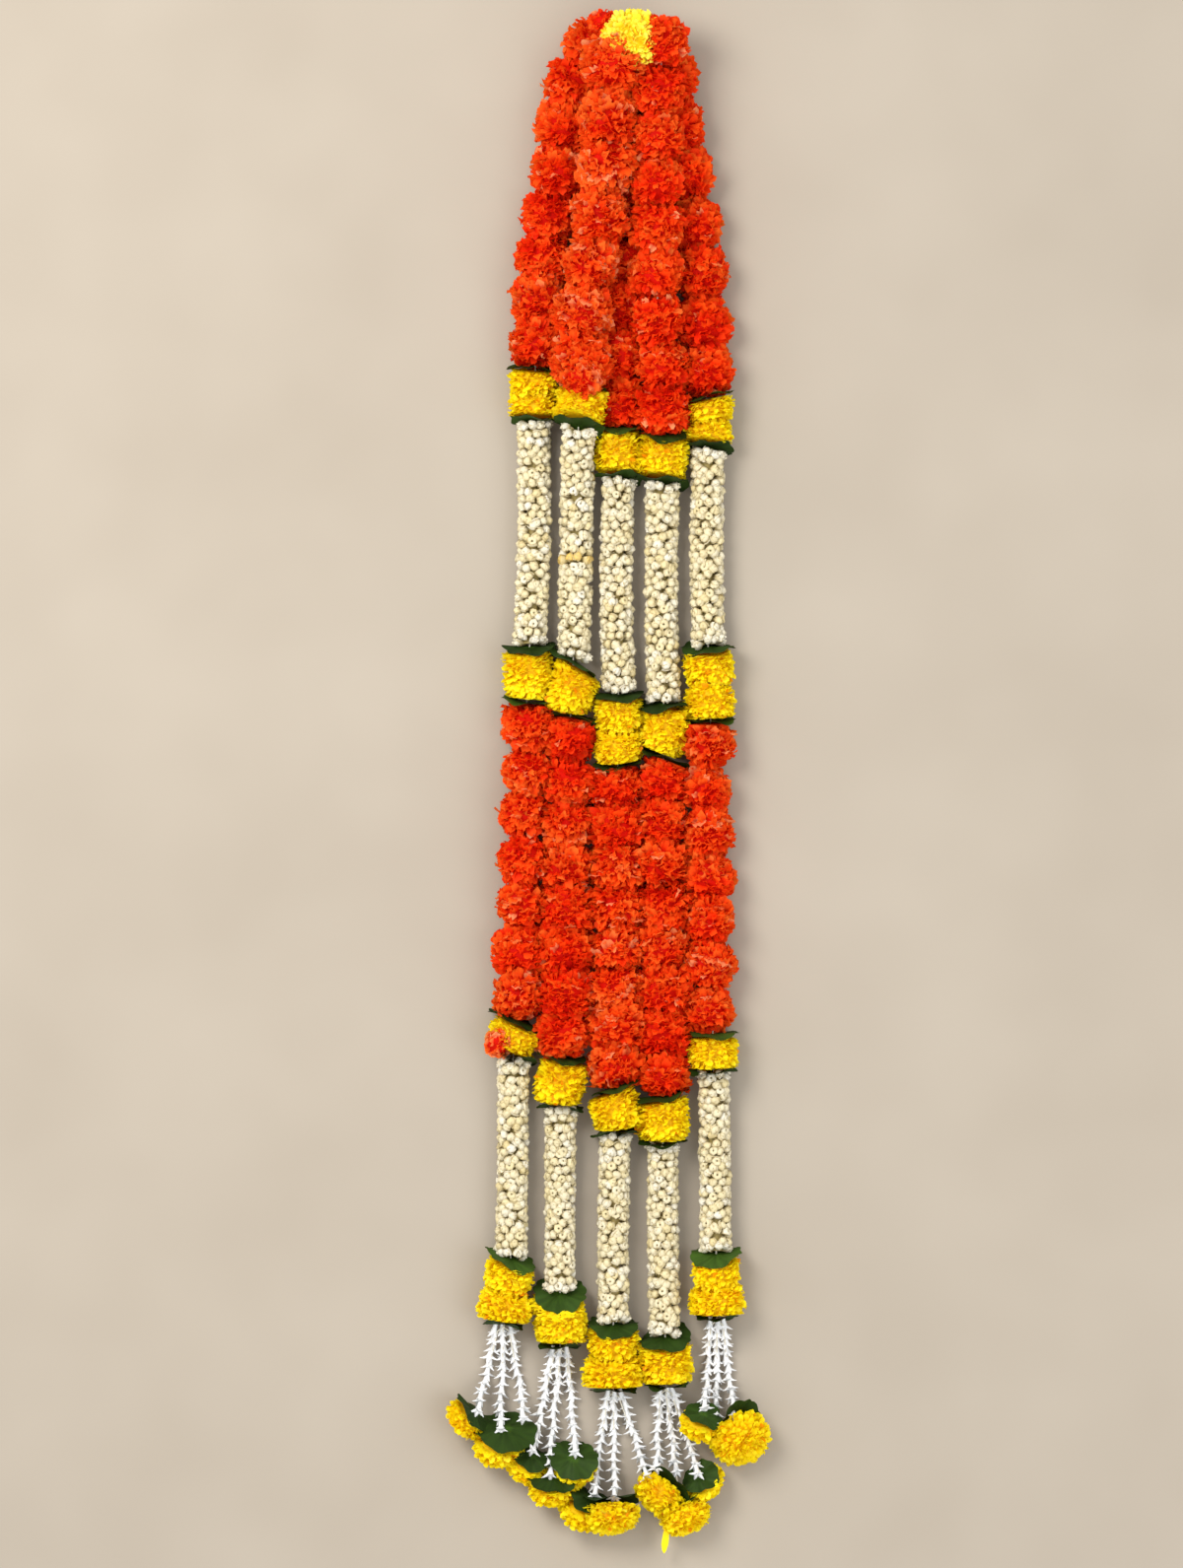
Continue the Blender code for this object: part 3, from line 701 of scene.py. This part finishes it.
# Orange marigolds. A depth is half a blossom's height, as a part of its pitch
ORANGE_PITCH = {"upper_orange_marigolds": 0.0455, "lower_orange_marigolds": 0.0415}
ORANGE_RADIUS = 0.0280
ORANGE_DEPTH = 0.58
FACE_DOWN_SHARE = 0.75
FACING_WANDER = 0.15

# Yellow marigolds and their leaves
YELLOW_RADIUS = 0.0255
YELLOW_DEPTH = 0.60
LEAF_RADIUS = 0.0250
LOWER_LEAF = 0.94
LAST_LEAF = 0.82
LEAF_CURL = 0.05
LEAF_ROOM = 0.0034
LIT_LEAF = 0.3

# Blossoms in each tier of the five strands
TIERS = {
    "upper_yellow_marigolds": (2, 1, 1, 1, 2),
    "middle_yellow_marigolds": (1, 1, 2, 1, 2),
    "lower_yellow_marigold": (1, 1, 1, 1, 1),
    "bottom_yellow_marigolds": (2, 1, 2, 1, 2),
}

# Each tier's upper and lower leaf: how far, in degrees, each slopes down to +X and its face tips up
LEAF_TILTS = {
    (1, "upper_yellow_marigolds"): ((3, 8), (0, -8)),
    (2, "upper_yellow_marigolds"): ((4, 6), (8, -26)),
    (3, "upper_yellow_marigolds"): ((0, 8), (2, -12)),
    (4, "upper_yellow_marigolds"): ((4, 12), (6, -20)),
    (5, "upper_yellow_marigolds"): ((-10, 6), (8, -16)),
    (1, "middle_yellow_marigolds"): ((-6, 11), (2, 4)),
    (2, "middle_yellow_marigolds"): ((33, 10), (6, 6)),
    (3, "middle_yellow_marigolds"): ((0, 8), (-8, 6)),
    (4, "middle_yellow_marigolds"): ((-2, 12), (20, 2)),
    (5, "middle_yellow_marigolds"): ((-2, 13), (0, 6)),
    (1, "lower_yellow_marigold"): ((24, 9), (16, -6)),
    (2, "lower_yellow_marigold"): ((10, 6), (4, 4)),
    (3, "lower_yellow_marigold"): ((-22, 4), (-8, 4)),
    (4, "lower_yellow_marigold"): ((-12, 4), (0, 4)),
    (5, "lower_yellow_marigold"): ((0, 2), (0, 4)),
    (1, "bottom_yellow_marigolds"): ((18, 14), (0, 0)),
    (2, "bottom_yellow_marigolds"): ((0, 38), (0, 0)),
    (3, "bottom_yellow_marigolds"): ((4, 20), (0, 0)),
    (4, "bottom_yellow_marigolds"): ((-6, 26), (0, 0)),
    (5, "bottom_yellow_marigolds"): ((-6, 20), (0, 0)),
}

# Jasmine: rings of buds round a thin core, whose dark colour is painted shade between the buds
JASMINE_PITCH = 0.0073
BUD_SCALES = {"upper_jasmine": 0.930707, "lower_jasmine": 0.836134}
FIRST_RING = 0.004
RING_BUDS = 9
BUD_ROOT = 0.0050
STAR_WIDTH = 0.0055
CORE_RADIUS = 0.0070
CORE_START = 0.003

# Middle and spread of the shades of shut and open buds, and the ring that has yellowed
BUD_SHADE = (0.62, 0.17)
OPEN_SHADE = (0.94, 0.05)
YELLOWED_RING = (2, "upper_jasmine", 17)

# How much wider the lowest blossom of a strand's last tier is
LAST_WIDTHS = (1.10, 1.06, 1.22, 1.06, 1.15)

# The run that hangs over the leaf below it
OVERHANGING = (2, "upper_orange_marigolds")
RUN_END_ROOM = 0.0030

# Tufts of stray petals: the solid each lies beside, how far off its middle, its facing, radius and shade
TUFTS = {
    (1, "upper_orange_marigolds"): (
        "top_yellow_marigold", (-0.024, 0.006, -0.010), (-0.3, 1.0, 0.6), 0.014, 0.5,
    ),
    (2, "upper_orange_marigolds"): (
        "strand_2_upper_yellow_marigolds", (0.001, 0.027, 0.016), (-0.6, -0.8, 0.6), 0.023, 0.82,
    ),
    (3, "upper_orange_marigolds"): (
        "top_yellow_marigold", (0.031, -0.024, -0.014), (0.3, 0.3, 1.0), 0.012, 0.2,
    ),
    (1, "lower_orange_marigolds"): (
        "strand_1_lower_yellow_marigold", (-0.015, -0.005, 0.012), (-0.8, -0.4, 0.8), 0.015, 0.95,
    ),
}
TUFT_DEPTH = 0.8

# Where the blossoms of a run are larger or paler than the others
SIZES = {
    (1, "upper_orange_marigolds"): 1.03,
    (2, "upper_orange_marigolds"): 1.12,
    (1, "lower_orange_marigolds"): 0.94,
    (2, "lower_orange_marigolds"): 1.05,
    (3, "lower_orange_marigolds"): 1.05,
    (4, "lower_orange_marigolds"): 1.03,
    (5, "lower_orange_marigolds"): 0.94,
}
PALENESS = {(2, "upper_orange_marigolds"): 0.14}

# Where the first blossom of a strand is drawn to, off its place on the thread
FIRST_SHIFTS = {
    1: (0.004, -0.006, 0.0),
    2: (0.005, 0.008, 0.006),
    3: (0.001, 0.011, 0.0),
    4: (-0.001, 0.004, 0.002),
    5: (-0.007, 0.002, 0.0),
}

# How far the outer strands are drawn in, most at DRAWN_MIDDLE below the tied end and not at all past
# DRAWN_REACH from there, and how far aside their lower orange runs are drawn
DRAWN_IN = {1: 0.012, 5: -0.014}
DRAWN_MIDDLE = 0.10
DRAWN_REACH = 0.14
LOWER_SHIFTS = {1: 0.004, 5: -0.004}


def tilted(way, tilt, dice):
    """A facing along the strand, tipped up by tilt, with a little wander."""
    up = np.array((0.0, 0.0, 1.0))
    return unit(way * math.cos(tilt) + up * math.sin(tilt) + dice.normal(0, FACING_WANDER, 3))


def aside_shift(strand, run, y):
    """How far across, off the middle of its solid, a blossom at y is drawn."""
    if run != UPPER_ORANGE:
        return LOWER_SHIFTS.get(strand, 0.0)
    off = min(abs(CAD_BOX[1][1] - y - DRAWN_MIDDLE) / DRAWN_REACH, 1.0)
    return DRAWN_IN.get(strand, 0.0) * math.cos(math.pi / 2 * off) ** 2


def leaf_normal(route, y, slope, lean):
    """The normal of a tier's leaf, which slopes down to +X and tips up by so many degrees."""
    tilt = np.array((math.tan(math.radians(slope)), 0.0, math.tan(math.radians(lean))))
    return unit(route.way(y) + tilt)


def orange_run(strand, run, dice):
    """A run of orange marigolds, held between the leaves at its ends."""
    node = f"strand_{strand}_{run}"
    route = Route(node)
    count = round((route.high - route.low) / ORANGE_PITCH[run])
    edges = np.linspace(route.high, route.low, count + 1)
    depth = (edges[0] - edges[1]) * ORANGE_DEPTH
    sheaf = Sheaf()
    for number, y in enumerate((edges[1:] + edges[:-1]) / 2):
        down = -1 if dice.random() < FACE_DOWN_SHARE else 1
        facing = tilted(route.way(y) * down, dice.uniform(0.0, 0.6), dice)
        size = dice.uniform(0.93, 1.07) * SIZES.get((strand, run), 1.0)
        shade = dice.uniform(0.40, 0.68) + PALENESS.get((strand, run), 0.0)
        centre = route.at(y) + dice.uniform(-0.0015, 0.0015, 3)
        centre[0] += aside_shift(strand, run, y)
        if number == 0 and run == UPPER_ORANGE:
            centre += FIRST_SHIFTS[strand]
        marigold(sheaf, dice, centre, facing, ORANGE_RADIUS * size, depth * size, ORANGE_STYLE, shade)
    if run != UPPER_ORANGE:
        over = leaf_normal(route, route.high, *LEAF_TILTS[strand, MIDDLE_TIER][1])
        sheaf.press_behind(route.at(route.high), over)
    if (strand, run) != OVERHANGING:
        sheaf.press_behind(route.at(route.low) - (0, RUN_END_ROOM, 0), -route.way(route.low))
    if (strand, run) in TUFTS:
        beside, off, facing, radius, shade = TUFTS[strand, run]
        centre = middle_of(beside) + off
        marigold(sheaf, dice, centre, facing, radius, TUFT_DEPTH * radius, ORANGE_STYLE, shade)
    sheaf.make(node + "_petals", ORANGE, "orange_petals", node)


def yellow_run(strand, run, dice):
    """A tier of yellow marigolds, pressed between two leaves."""
    node = f"strand_{strand}_{run}"
    route = Route(node)
    upper, lower = LEAF_TILTS[strand, run]
    ends = (
        (1, route.high, leaf_normal(route, route.high, *upper)),
        (-1, route.low, leaf_normal(route, route.low, *lower)),
    )
    axis = unit(ends[0][2] + ends[1][2])
    count = TIERS[run][strand - 1]
    edges = np.linspace(route.high, route.low, count + 1)
    depth = (edges[0] - edges[1]) * YELLOW_DEPTH
    sheaf = Sheaf()
    for number, y in enumerate((edges[1:] + edges[:-1]) / 2):
        radius = YELLOW_RADIUS * dice.uniform(0.96, 1.04)
        if run == LAST_TIER and number == count - 1:
            radius *= LAST_WIDTHS[strand - 1]
        facing = unit(axis + dice.normal(0, 0.06, 3))
        marigold(sheaf, dice, route.at(y), facing, radius, depth, YELLOW_STYLE, dice.uniform(0.45, 0.6))
    for side, y, normal in ends:
        sheaf.press_behind(route.at(y) - side * normal * LEAF_ROOM, side * normal)
    sheaf.make(node + "_petals", YELLOW, "yellow_petals", node)
    leaves = Sheaf()
    for side, y, normal in ends:
        size = LEAF_RADIUS * dice.uniform(0.95, 1.03)
        shade = dice.uniform(0.1, 0.7)
        if side < 0:
            size *= LAST_LEAF if run == LAST_TIER else LOWER_LEAF
        elif run == LAST_TIER:
            shade += LIT_LEAF
        leaf(leaves, dice, route.at(y), normal, size, shade, LEAF_CURL * side)
    leaves.make(node.replace("marigolds", "leaves").replace("marigold", "leaves"), LEAF, "leaf")


def jasmine_core(sheaf, route):
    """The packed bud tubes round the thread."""
    along = np.linspace(route.high - CORE_START, route.low + CORE_START, 12)
    turn = np.linspace(0, FULL_TURN, 8, endpoint=False)[:, None]
    ring = np.cos(turn) * np.array((CORE_RADIUS, 0, 0)) + np.sin(turn) * np.array((0, 0, CORE_RADIUS))
    # The core takes the dark brown heart colour: painted shade in the gaps between the buds
    sheaf.add((route.at(along)[:, None] + ring)[None], 0.3, closed=True, reach=0.02)


def jasmine_run(strand, run, dice):
    """Rings of jasmine buds, with open flowers at both ends of the run."""
    node = f"strand_{strand}_{run}"
    route = Route(node)
    rings = round((route.high - route.low) / JASMINE_PITCH)
    sheaf = Sheaf()
    jasmine_core(sheaf, route)
    for ring, y in enumerate(np.linspace(route.high - FIRST_RING, route.low + FIRST_RING, rings)):
        way = route.way(y)
        turn = (np.arange(RING_BUDS) + 0.5 * (ring % 2)) * FULL_TURN / RING_BUDS
        turn = turn + dice.uniform(-0.12, 0.12, RING_BUDS)
        out, _ = ways_round(turn, *square_ways(way))
        out = unit(out + way * dice.uniform(-0.14, 0.28, RING_BUDS)[:, None])
        root = route.at(y) + out * BUD_ROOT + way * dice.uniform(-0.0015, 0.0015, RING_BUDS)[:, None]
        length = dice.uniform(0.0115, 0.0138, RING_BUDS) * BUD_SCALES[run]
        opens = ring in (0, rings - 1)
        shade = np.clip(dice.normal(*(OPEN_SHADE if opens else BUD_SHADE), RING_BUDS), 0.02, 0.99)
        if (strand, run, ring) == YELLOWED_RING:
            shade = shade * 0.05
        buds(sheaf, dice, root, out, length, dice.uniform(0.0045, 0.0055, RING_BUDS), shade)
        if opens:
            mouth = root + out * (0.6 * length)[:, None]
            stars(sheaf, dice, mouth, out, length * 0.65, STAR_WIDTH, shade, open_angle=0.7, curl=0.5)
    sheaf.make(node + "_buds", CREAM, "jasmine_buds", node)


# The strings are told apart past this share of the tassel's length
APART = 0.6
STRINGS = 3
STRING_HALF_WIDTH = 0.0035
TIP_DEPTH = 0.0005


def tassel_strings(strand):
    """Where a tassel starts under the last tier, and the tips of its three strings.

    The strings of the solid are told apart by how far each slopes aside in its lower part.
    """
    corners = corners_of(f"strand_{strand}_tuberose_tassel")
    tier = Route(f"strand_{strand}_{LAST_TIER}")
    start = tier.at(tier.low)
    drop = start[1] - corners[:, 1]
    far = corners[drop > APART * drop.max()]
    fall = start[1] - far[:, 1]
    slope = (far[:, 0] - start[0]) / fall
    middles = np.quantile(slope, (0.1, 0.5, 0.9))
    for _ in range(12):
        nearest = np.abs(slope[:, None] - middles).argmin(1)
        middles = np.array([slope[nearest == number].mean() for number in range(STRINGS)])
    tips = []
    for middle in middles:
        string = far[np.abs(far[:, 0] - start[0] - middle * fall) < STRING_HALF_WIDTH]
        tips.append(string[string[:, 1] < string[:, 1].min() + TIP_DEPTH].mean(0))
    return start, tips


# A string sinks to the surface until SINK_END, as a part of its length, and climbs over the end marigolds'
# leaves from CLIMB_START on
STRING_SPREAD = 0.006
SINK_END = 0.45
CLIMB_START = 0.60
STRING_CLIMB = 0.027
FLORET_PITCH = 0.0089
FLORET_WANDER = 0.0012
FLORET_LAP = 1.02
FLORET_MOUTH = 0.76
FLORET_RADII = (0.0020, 0.0022, 0.0027, 0.0036)
SPIKE_LENGTH = 0.0098
SPIKE_RADIUS = 0.0034


def tassel(strand, dice):
    """Three strings of florets."""
    node = f"strand_{strand}_tuberose_tassel"
    start, tips = tassel_strings(strand)
    sheaf = Sheaf()
    for number, tip in enumerate(tips):
        root = start + np.array(((number - 1) * STRING_SPREAD, 0.0010, 0.0))
        count = round(np.linalg.norm(tip - root) / FLORET_PITCH)
        t = np.arange(count) / count
        sink = np.clip(t / SINK_END, 0, 1)
        sink = sink * sink * (3 - 2 * sink)
        climb = np.clip((t - CLIMB_START) / (1 - CLIMB_START), 0, 1) ** 1.4
        place = root + (tip - root) * t[:, None]
        place[:, 2] = root[2] + (tip[2] - root[2]) * sink + STRING_CLIMB * climb
        after = np.concatenate((place[1:], [tip + (0, 0, STRING_CLIMB)]))
        out = unit(after - place)
        place = place + dice.uniform(-FLORET_WANDER, FLORET_WANDER, (count, 3))
        length = np.linalg.norm(after - place, axis=1)
        shade = dice.uniform(0.3, 1.0, count)
        tubes(sheaf, place, out, length * FLORET_LAP, FLORET_RADII, shade)
        mouth = place + out * (length * FLORET_MOUTH)[:, None]
        spikes(sheaf, dice, mouth, out, SPIKE_LENGTH, SPIKE_RADIUS, shade, open_angle=0.72, curl=-0.7)
    sheaf.make(node + "_florets", WHITE, "tuberose_florets", node)


def facing_of(node):
    """The way a single marigold faces, which is away from the flat back of its leaf."""
    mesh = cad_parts[node].data
    sums = {}
    for face in mesh.polygons:
        key = tuple(round(part, 2) for part in face.normal)
        sums[key] = sums.get(key, 0.0) + face.area
    return -unit(np.array(max(sums, key=sums.get)))


# Each end marigold: how far, in degrees, its face tips down and turns aside, its size, how far it lies off
# the middle of its solid and its leaf off its back, and the leaf's size
END_LOOKS = {
    "strand_1_end_marigold_1": (25, 0, 1.00, (0.000, 0.004, 0), (0.000, 0.000, 0), 0.92),
    "strand_1_end_marigold_2": (45, 0, 1.05, (0.000, 0.003, 0), (0.005, 0.010, -0.004), 1.16),
    "strand_2_end_marigold_1": (45, 0, 0.88, (0.001, 0.004, 0), (0.002, 0.004, 0), 0.85),
    "strand_2_end_marigold_2": (38, 0, 1.00, (0.003, 0.007, 0), (0.000, 0.002, 0), 0.95),
    "strand_2_end_marigold_3": (55, 0, 0.92, (-0.002, 0.006, 0), (0.000, 0.004, 0), 1.00),
    "strand_3_end_marigold_1": (40, 0, 0.95, (0.000, 0.004, 0), (0.006, 0.006, 0), 0.85),
    "strand_3_end_marigold_2": (5, 0, 1.22, (-0.008, 0.008, 0), (0.000, 0.004, 0), 0.85),
    "strand_4_end_marigold_1": (-5, -35, 1.15, (0.004, -0.005, 0), (0.000, 0.003, 0), 0.90),
    "strand_4_end_marigold_2": (5, 10, 1.05, (0.002, 0.000, 0), (0.000, 0.002, 0), 0.90),
    "strand_4_end_marigold_3": (50, 0, 0.88, (-0.006, 0.004, 0), (0.000, 0.001, 0), 0.82),
    "strand_5_end_marigold_1": (40, 0, 0.92, (0.000, 0.005, 0), (0.000, 0.003, 0), 0.80),
    "strand_5_end_marigold_2": (-5, 0, 1.30, (-0.003, 0.000, 0), (0.004, 0.012, 0.004), 0.66),
}
END_RADIUS = 0.0245
END_DEPTH = 0.0155
END_BACK = 0.0075
END_LEAF_PLACE = 0.0105
END_LEAF_WAVE = 0.0030
END_LEAF_CURL = -0.10
LEAST_END_HEIGHT = 0.019

# The end marigold from which one loose petal droops
DROOPED_NODE = "strand_4_end_marigold_2"


def loose_petal(sheaf, centre):
    """One petal that hangs from the lower left of a blossom."""
    root = centre + np.array((-0.018, -0.008, 0.004))
    out = unit(np.array((-0.12, -1.0, -0.25)))
    side = np.array((1.0, -0.12, 0.0))
    sheet = petals(
        root[None], out[None], side[None], length=0.030, width=0.007, curl=0.3, frill=0.001, phase=0.0,
        claw=0.6, tip=0.3,
    )
    sheaf.add(sheet, 0.8)


def end_marigold(node, dice):
    """A yellow marigold at the end of a tassel string, with a leaf behind it."""
    down, turn, size, shift, leaf_shift, leaf_size = END_LOOKS[node]
    forward, aside, up = facing_of(node)
    cos, sin = math.cos(math.radians(turn)), math.sin(math.radians(turn))
    up -= math.tan(math.radians(down))
    facing = unit(np.array((cos * forward - sin * aside, sin * forward + cos * aside, up)))
    centre = middle_of(node) + shift
    centre[2] = max(centre[2], LEAST_END_HEIGHT * size)
    sheaf = Sheaf()
    shade = dice.uniform(0.45, 0.6)
    marigold(sheaf, dice, centre, facing, END_RADIUS * size, END_DEPTH * size, FACE_STYLE, shade)
    sheaf.press_behind(centre - facing * END_BACK * size, -facing)
    if node == DROOPED_NODE:
        loose_petal(sheaf, centre)
    sheaf.make(node + "_petals", YELLOW, "yellow_petals", node)
    leaves = Sheaf()
    behind = centre - facing * END_LEAF_PLACE * size + leaf_shift
    shade = dice.uniform(0.1, 0.5)
    radius = LEAF_RADIUS * size * leaf_size
    leaf(leaves, dice, behind, facing, radius, shade, END_LEAF_CURL, END_LEAF_WAVE)
    leaves.make(node + "_leaf", LEAF, "leaf")


# The lemon marigold over the tie
TOP_SHIFT = (0.004, -0.011, 0.003)
TOP_FACING = (0.1, 0.25, 1.0)
TOP_RADIUS = 0.0310
TOP_DEPTH = 0.014


def top_marigold(dice):
    """The lemon yellow marigold that covers the tie."""
    node = "top_yellow_marigold"
    sheaf = Sheaf()
    marigold(sheaf, dice, middle_of(node) + TOP_SHIFT, TOP_FACING, TOP_RADIUS, TOP_DEPTH, FACE_STYLE, 0.6)
    sheaf.make(node + "_petals", LEMON, "lemon_petals", node)


# Studio

# The camera looks straight down at this place, and sees this much of the garland's length
AIM = (-0.017, -0.009, 0.03)
VIEW_LENGTH = 1.543
FLOOR_HALF = 8.0


def make_camera():
    """A long lens straight above the garland."""
    camera = bpy.data.cameras.new("camera")
    camera.lens = 200
    camera.sensor_width = 36
    camera.clip_end = 20
    made = bpy.data.objects.new("camera", camera)
    made.location = (AIM[0], AIM[1], AIM[2] + VIEW_LENGTH * camera.lens / camera.sensor_width)
    bpy.context.scene.collection.objects.link(made)
    bpy.context.scene.camera = made


def make_light(name, place, size, power, colour):
    """A round soft light that points at the middle of the garland."""
    lamp = bpy.data.lights.new(name, "AREA")
    lamp.shape = "DISK"
    lamp.size = size
    lamp.energy = power
    lamp.color = colour
    made = bpy.data.objects.new(name, lamp)
    made.location = place
    made.rotation_euler = Vector(place).to_track_quat("Z", "Y").to_euler()
    bpy.context.scene.collection.objects.link(made)


def make_floor():
    """A plain pale floor with a faint mottle."""
    half = FLOOR_HALF
    mesh = bpy.data.meshes.new("floor")
    corners = ((-half, -half, 0), (half, -half, 0), (half, half, 0), (-half, half, 0))
    mesh.from_pydata(corners, (), ((0, 1, 2, 3),))
    floor = bpy.data.objects.new("floor", mesh)
    bpy.context.scene.collection.objects.link(floor)
    finish = Finish("pale_floor")
    mottle = finish.node("ShaderNodeTexNoise", {"Scale": 80.0}).outputs[0]
    colour = finish.ramp(mottle, ((0.3, (0.315, 0.270, 0.215)), (0.7, (0.340, 0.294, 0.237))))
    finish.join(colour, finish.shader.inputs["Base Color"])
    finish.shader.inputs["Roughness"].default_value = 0.9
    mesh.materials.append(finish.material)


def make_studio():
    """Two soft lights, an even white sky and the floor."""
    make_light("key_light", (-1.5, 1.2, 2.6), 1.6, 95, (1.0, 0.98, 0.95))
    make_light("fill_light", (1.8, -1.0, 2.4), 2.0, 30, (0.94, 0.97, 1.0))
    world = bpy.data.worlds.new("studio")
    world.use_nodes = True
    sky = world.node_tree.nodes["Background"].inputs
    sky["Color"].default_value = (1.0, 1.0, 1.0, 1.0)
    sky["Strength"].default_value = 1.15
    bpy.context.scene.world = world
    bpy.context.scene.view_settings.view_transform = "Standard"
    make_floor()


def main():
    """The studio, then every run, tassel and marigold, each with its own seed."""
    make_camera()
    make_studio()
    for strand in STRANDS:
        for order, run in enumerate(RUNS):
            dice = np.random.default_rng(100 * strand + order)
            if "orange" in run:
                orange_run(strand, run, dice)
            elif "yellow" in run:
                yellow_run(strand, run, dice)
            else:
                jasmine_run(strand, run, dice)
        tassel(strand, np.random.default_rng(100 * strand + 50))
    for order, node in enumerate(sorted(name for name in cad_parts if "end_marigold" in name)):
        end_marigold(node, np.random.default_rng(900 + order))
    top_marigold(np.random.default_rng(990))
    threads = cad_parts["tied_threads"]
    threads.data.materials.clear()
    threads.data.materials.append(cotton_finish())


main()
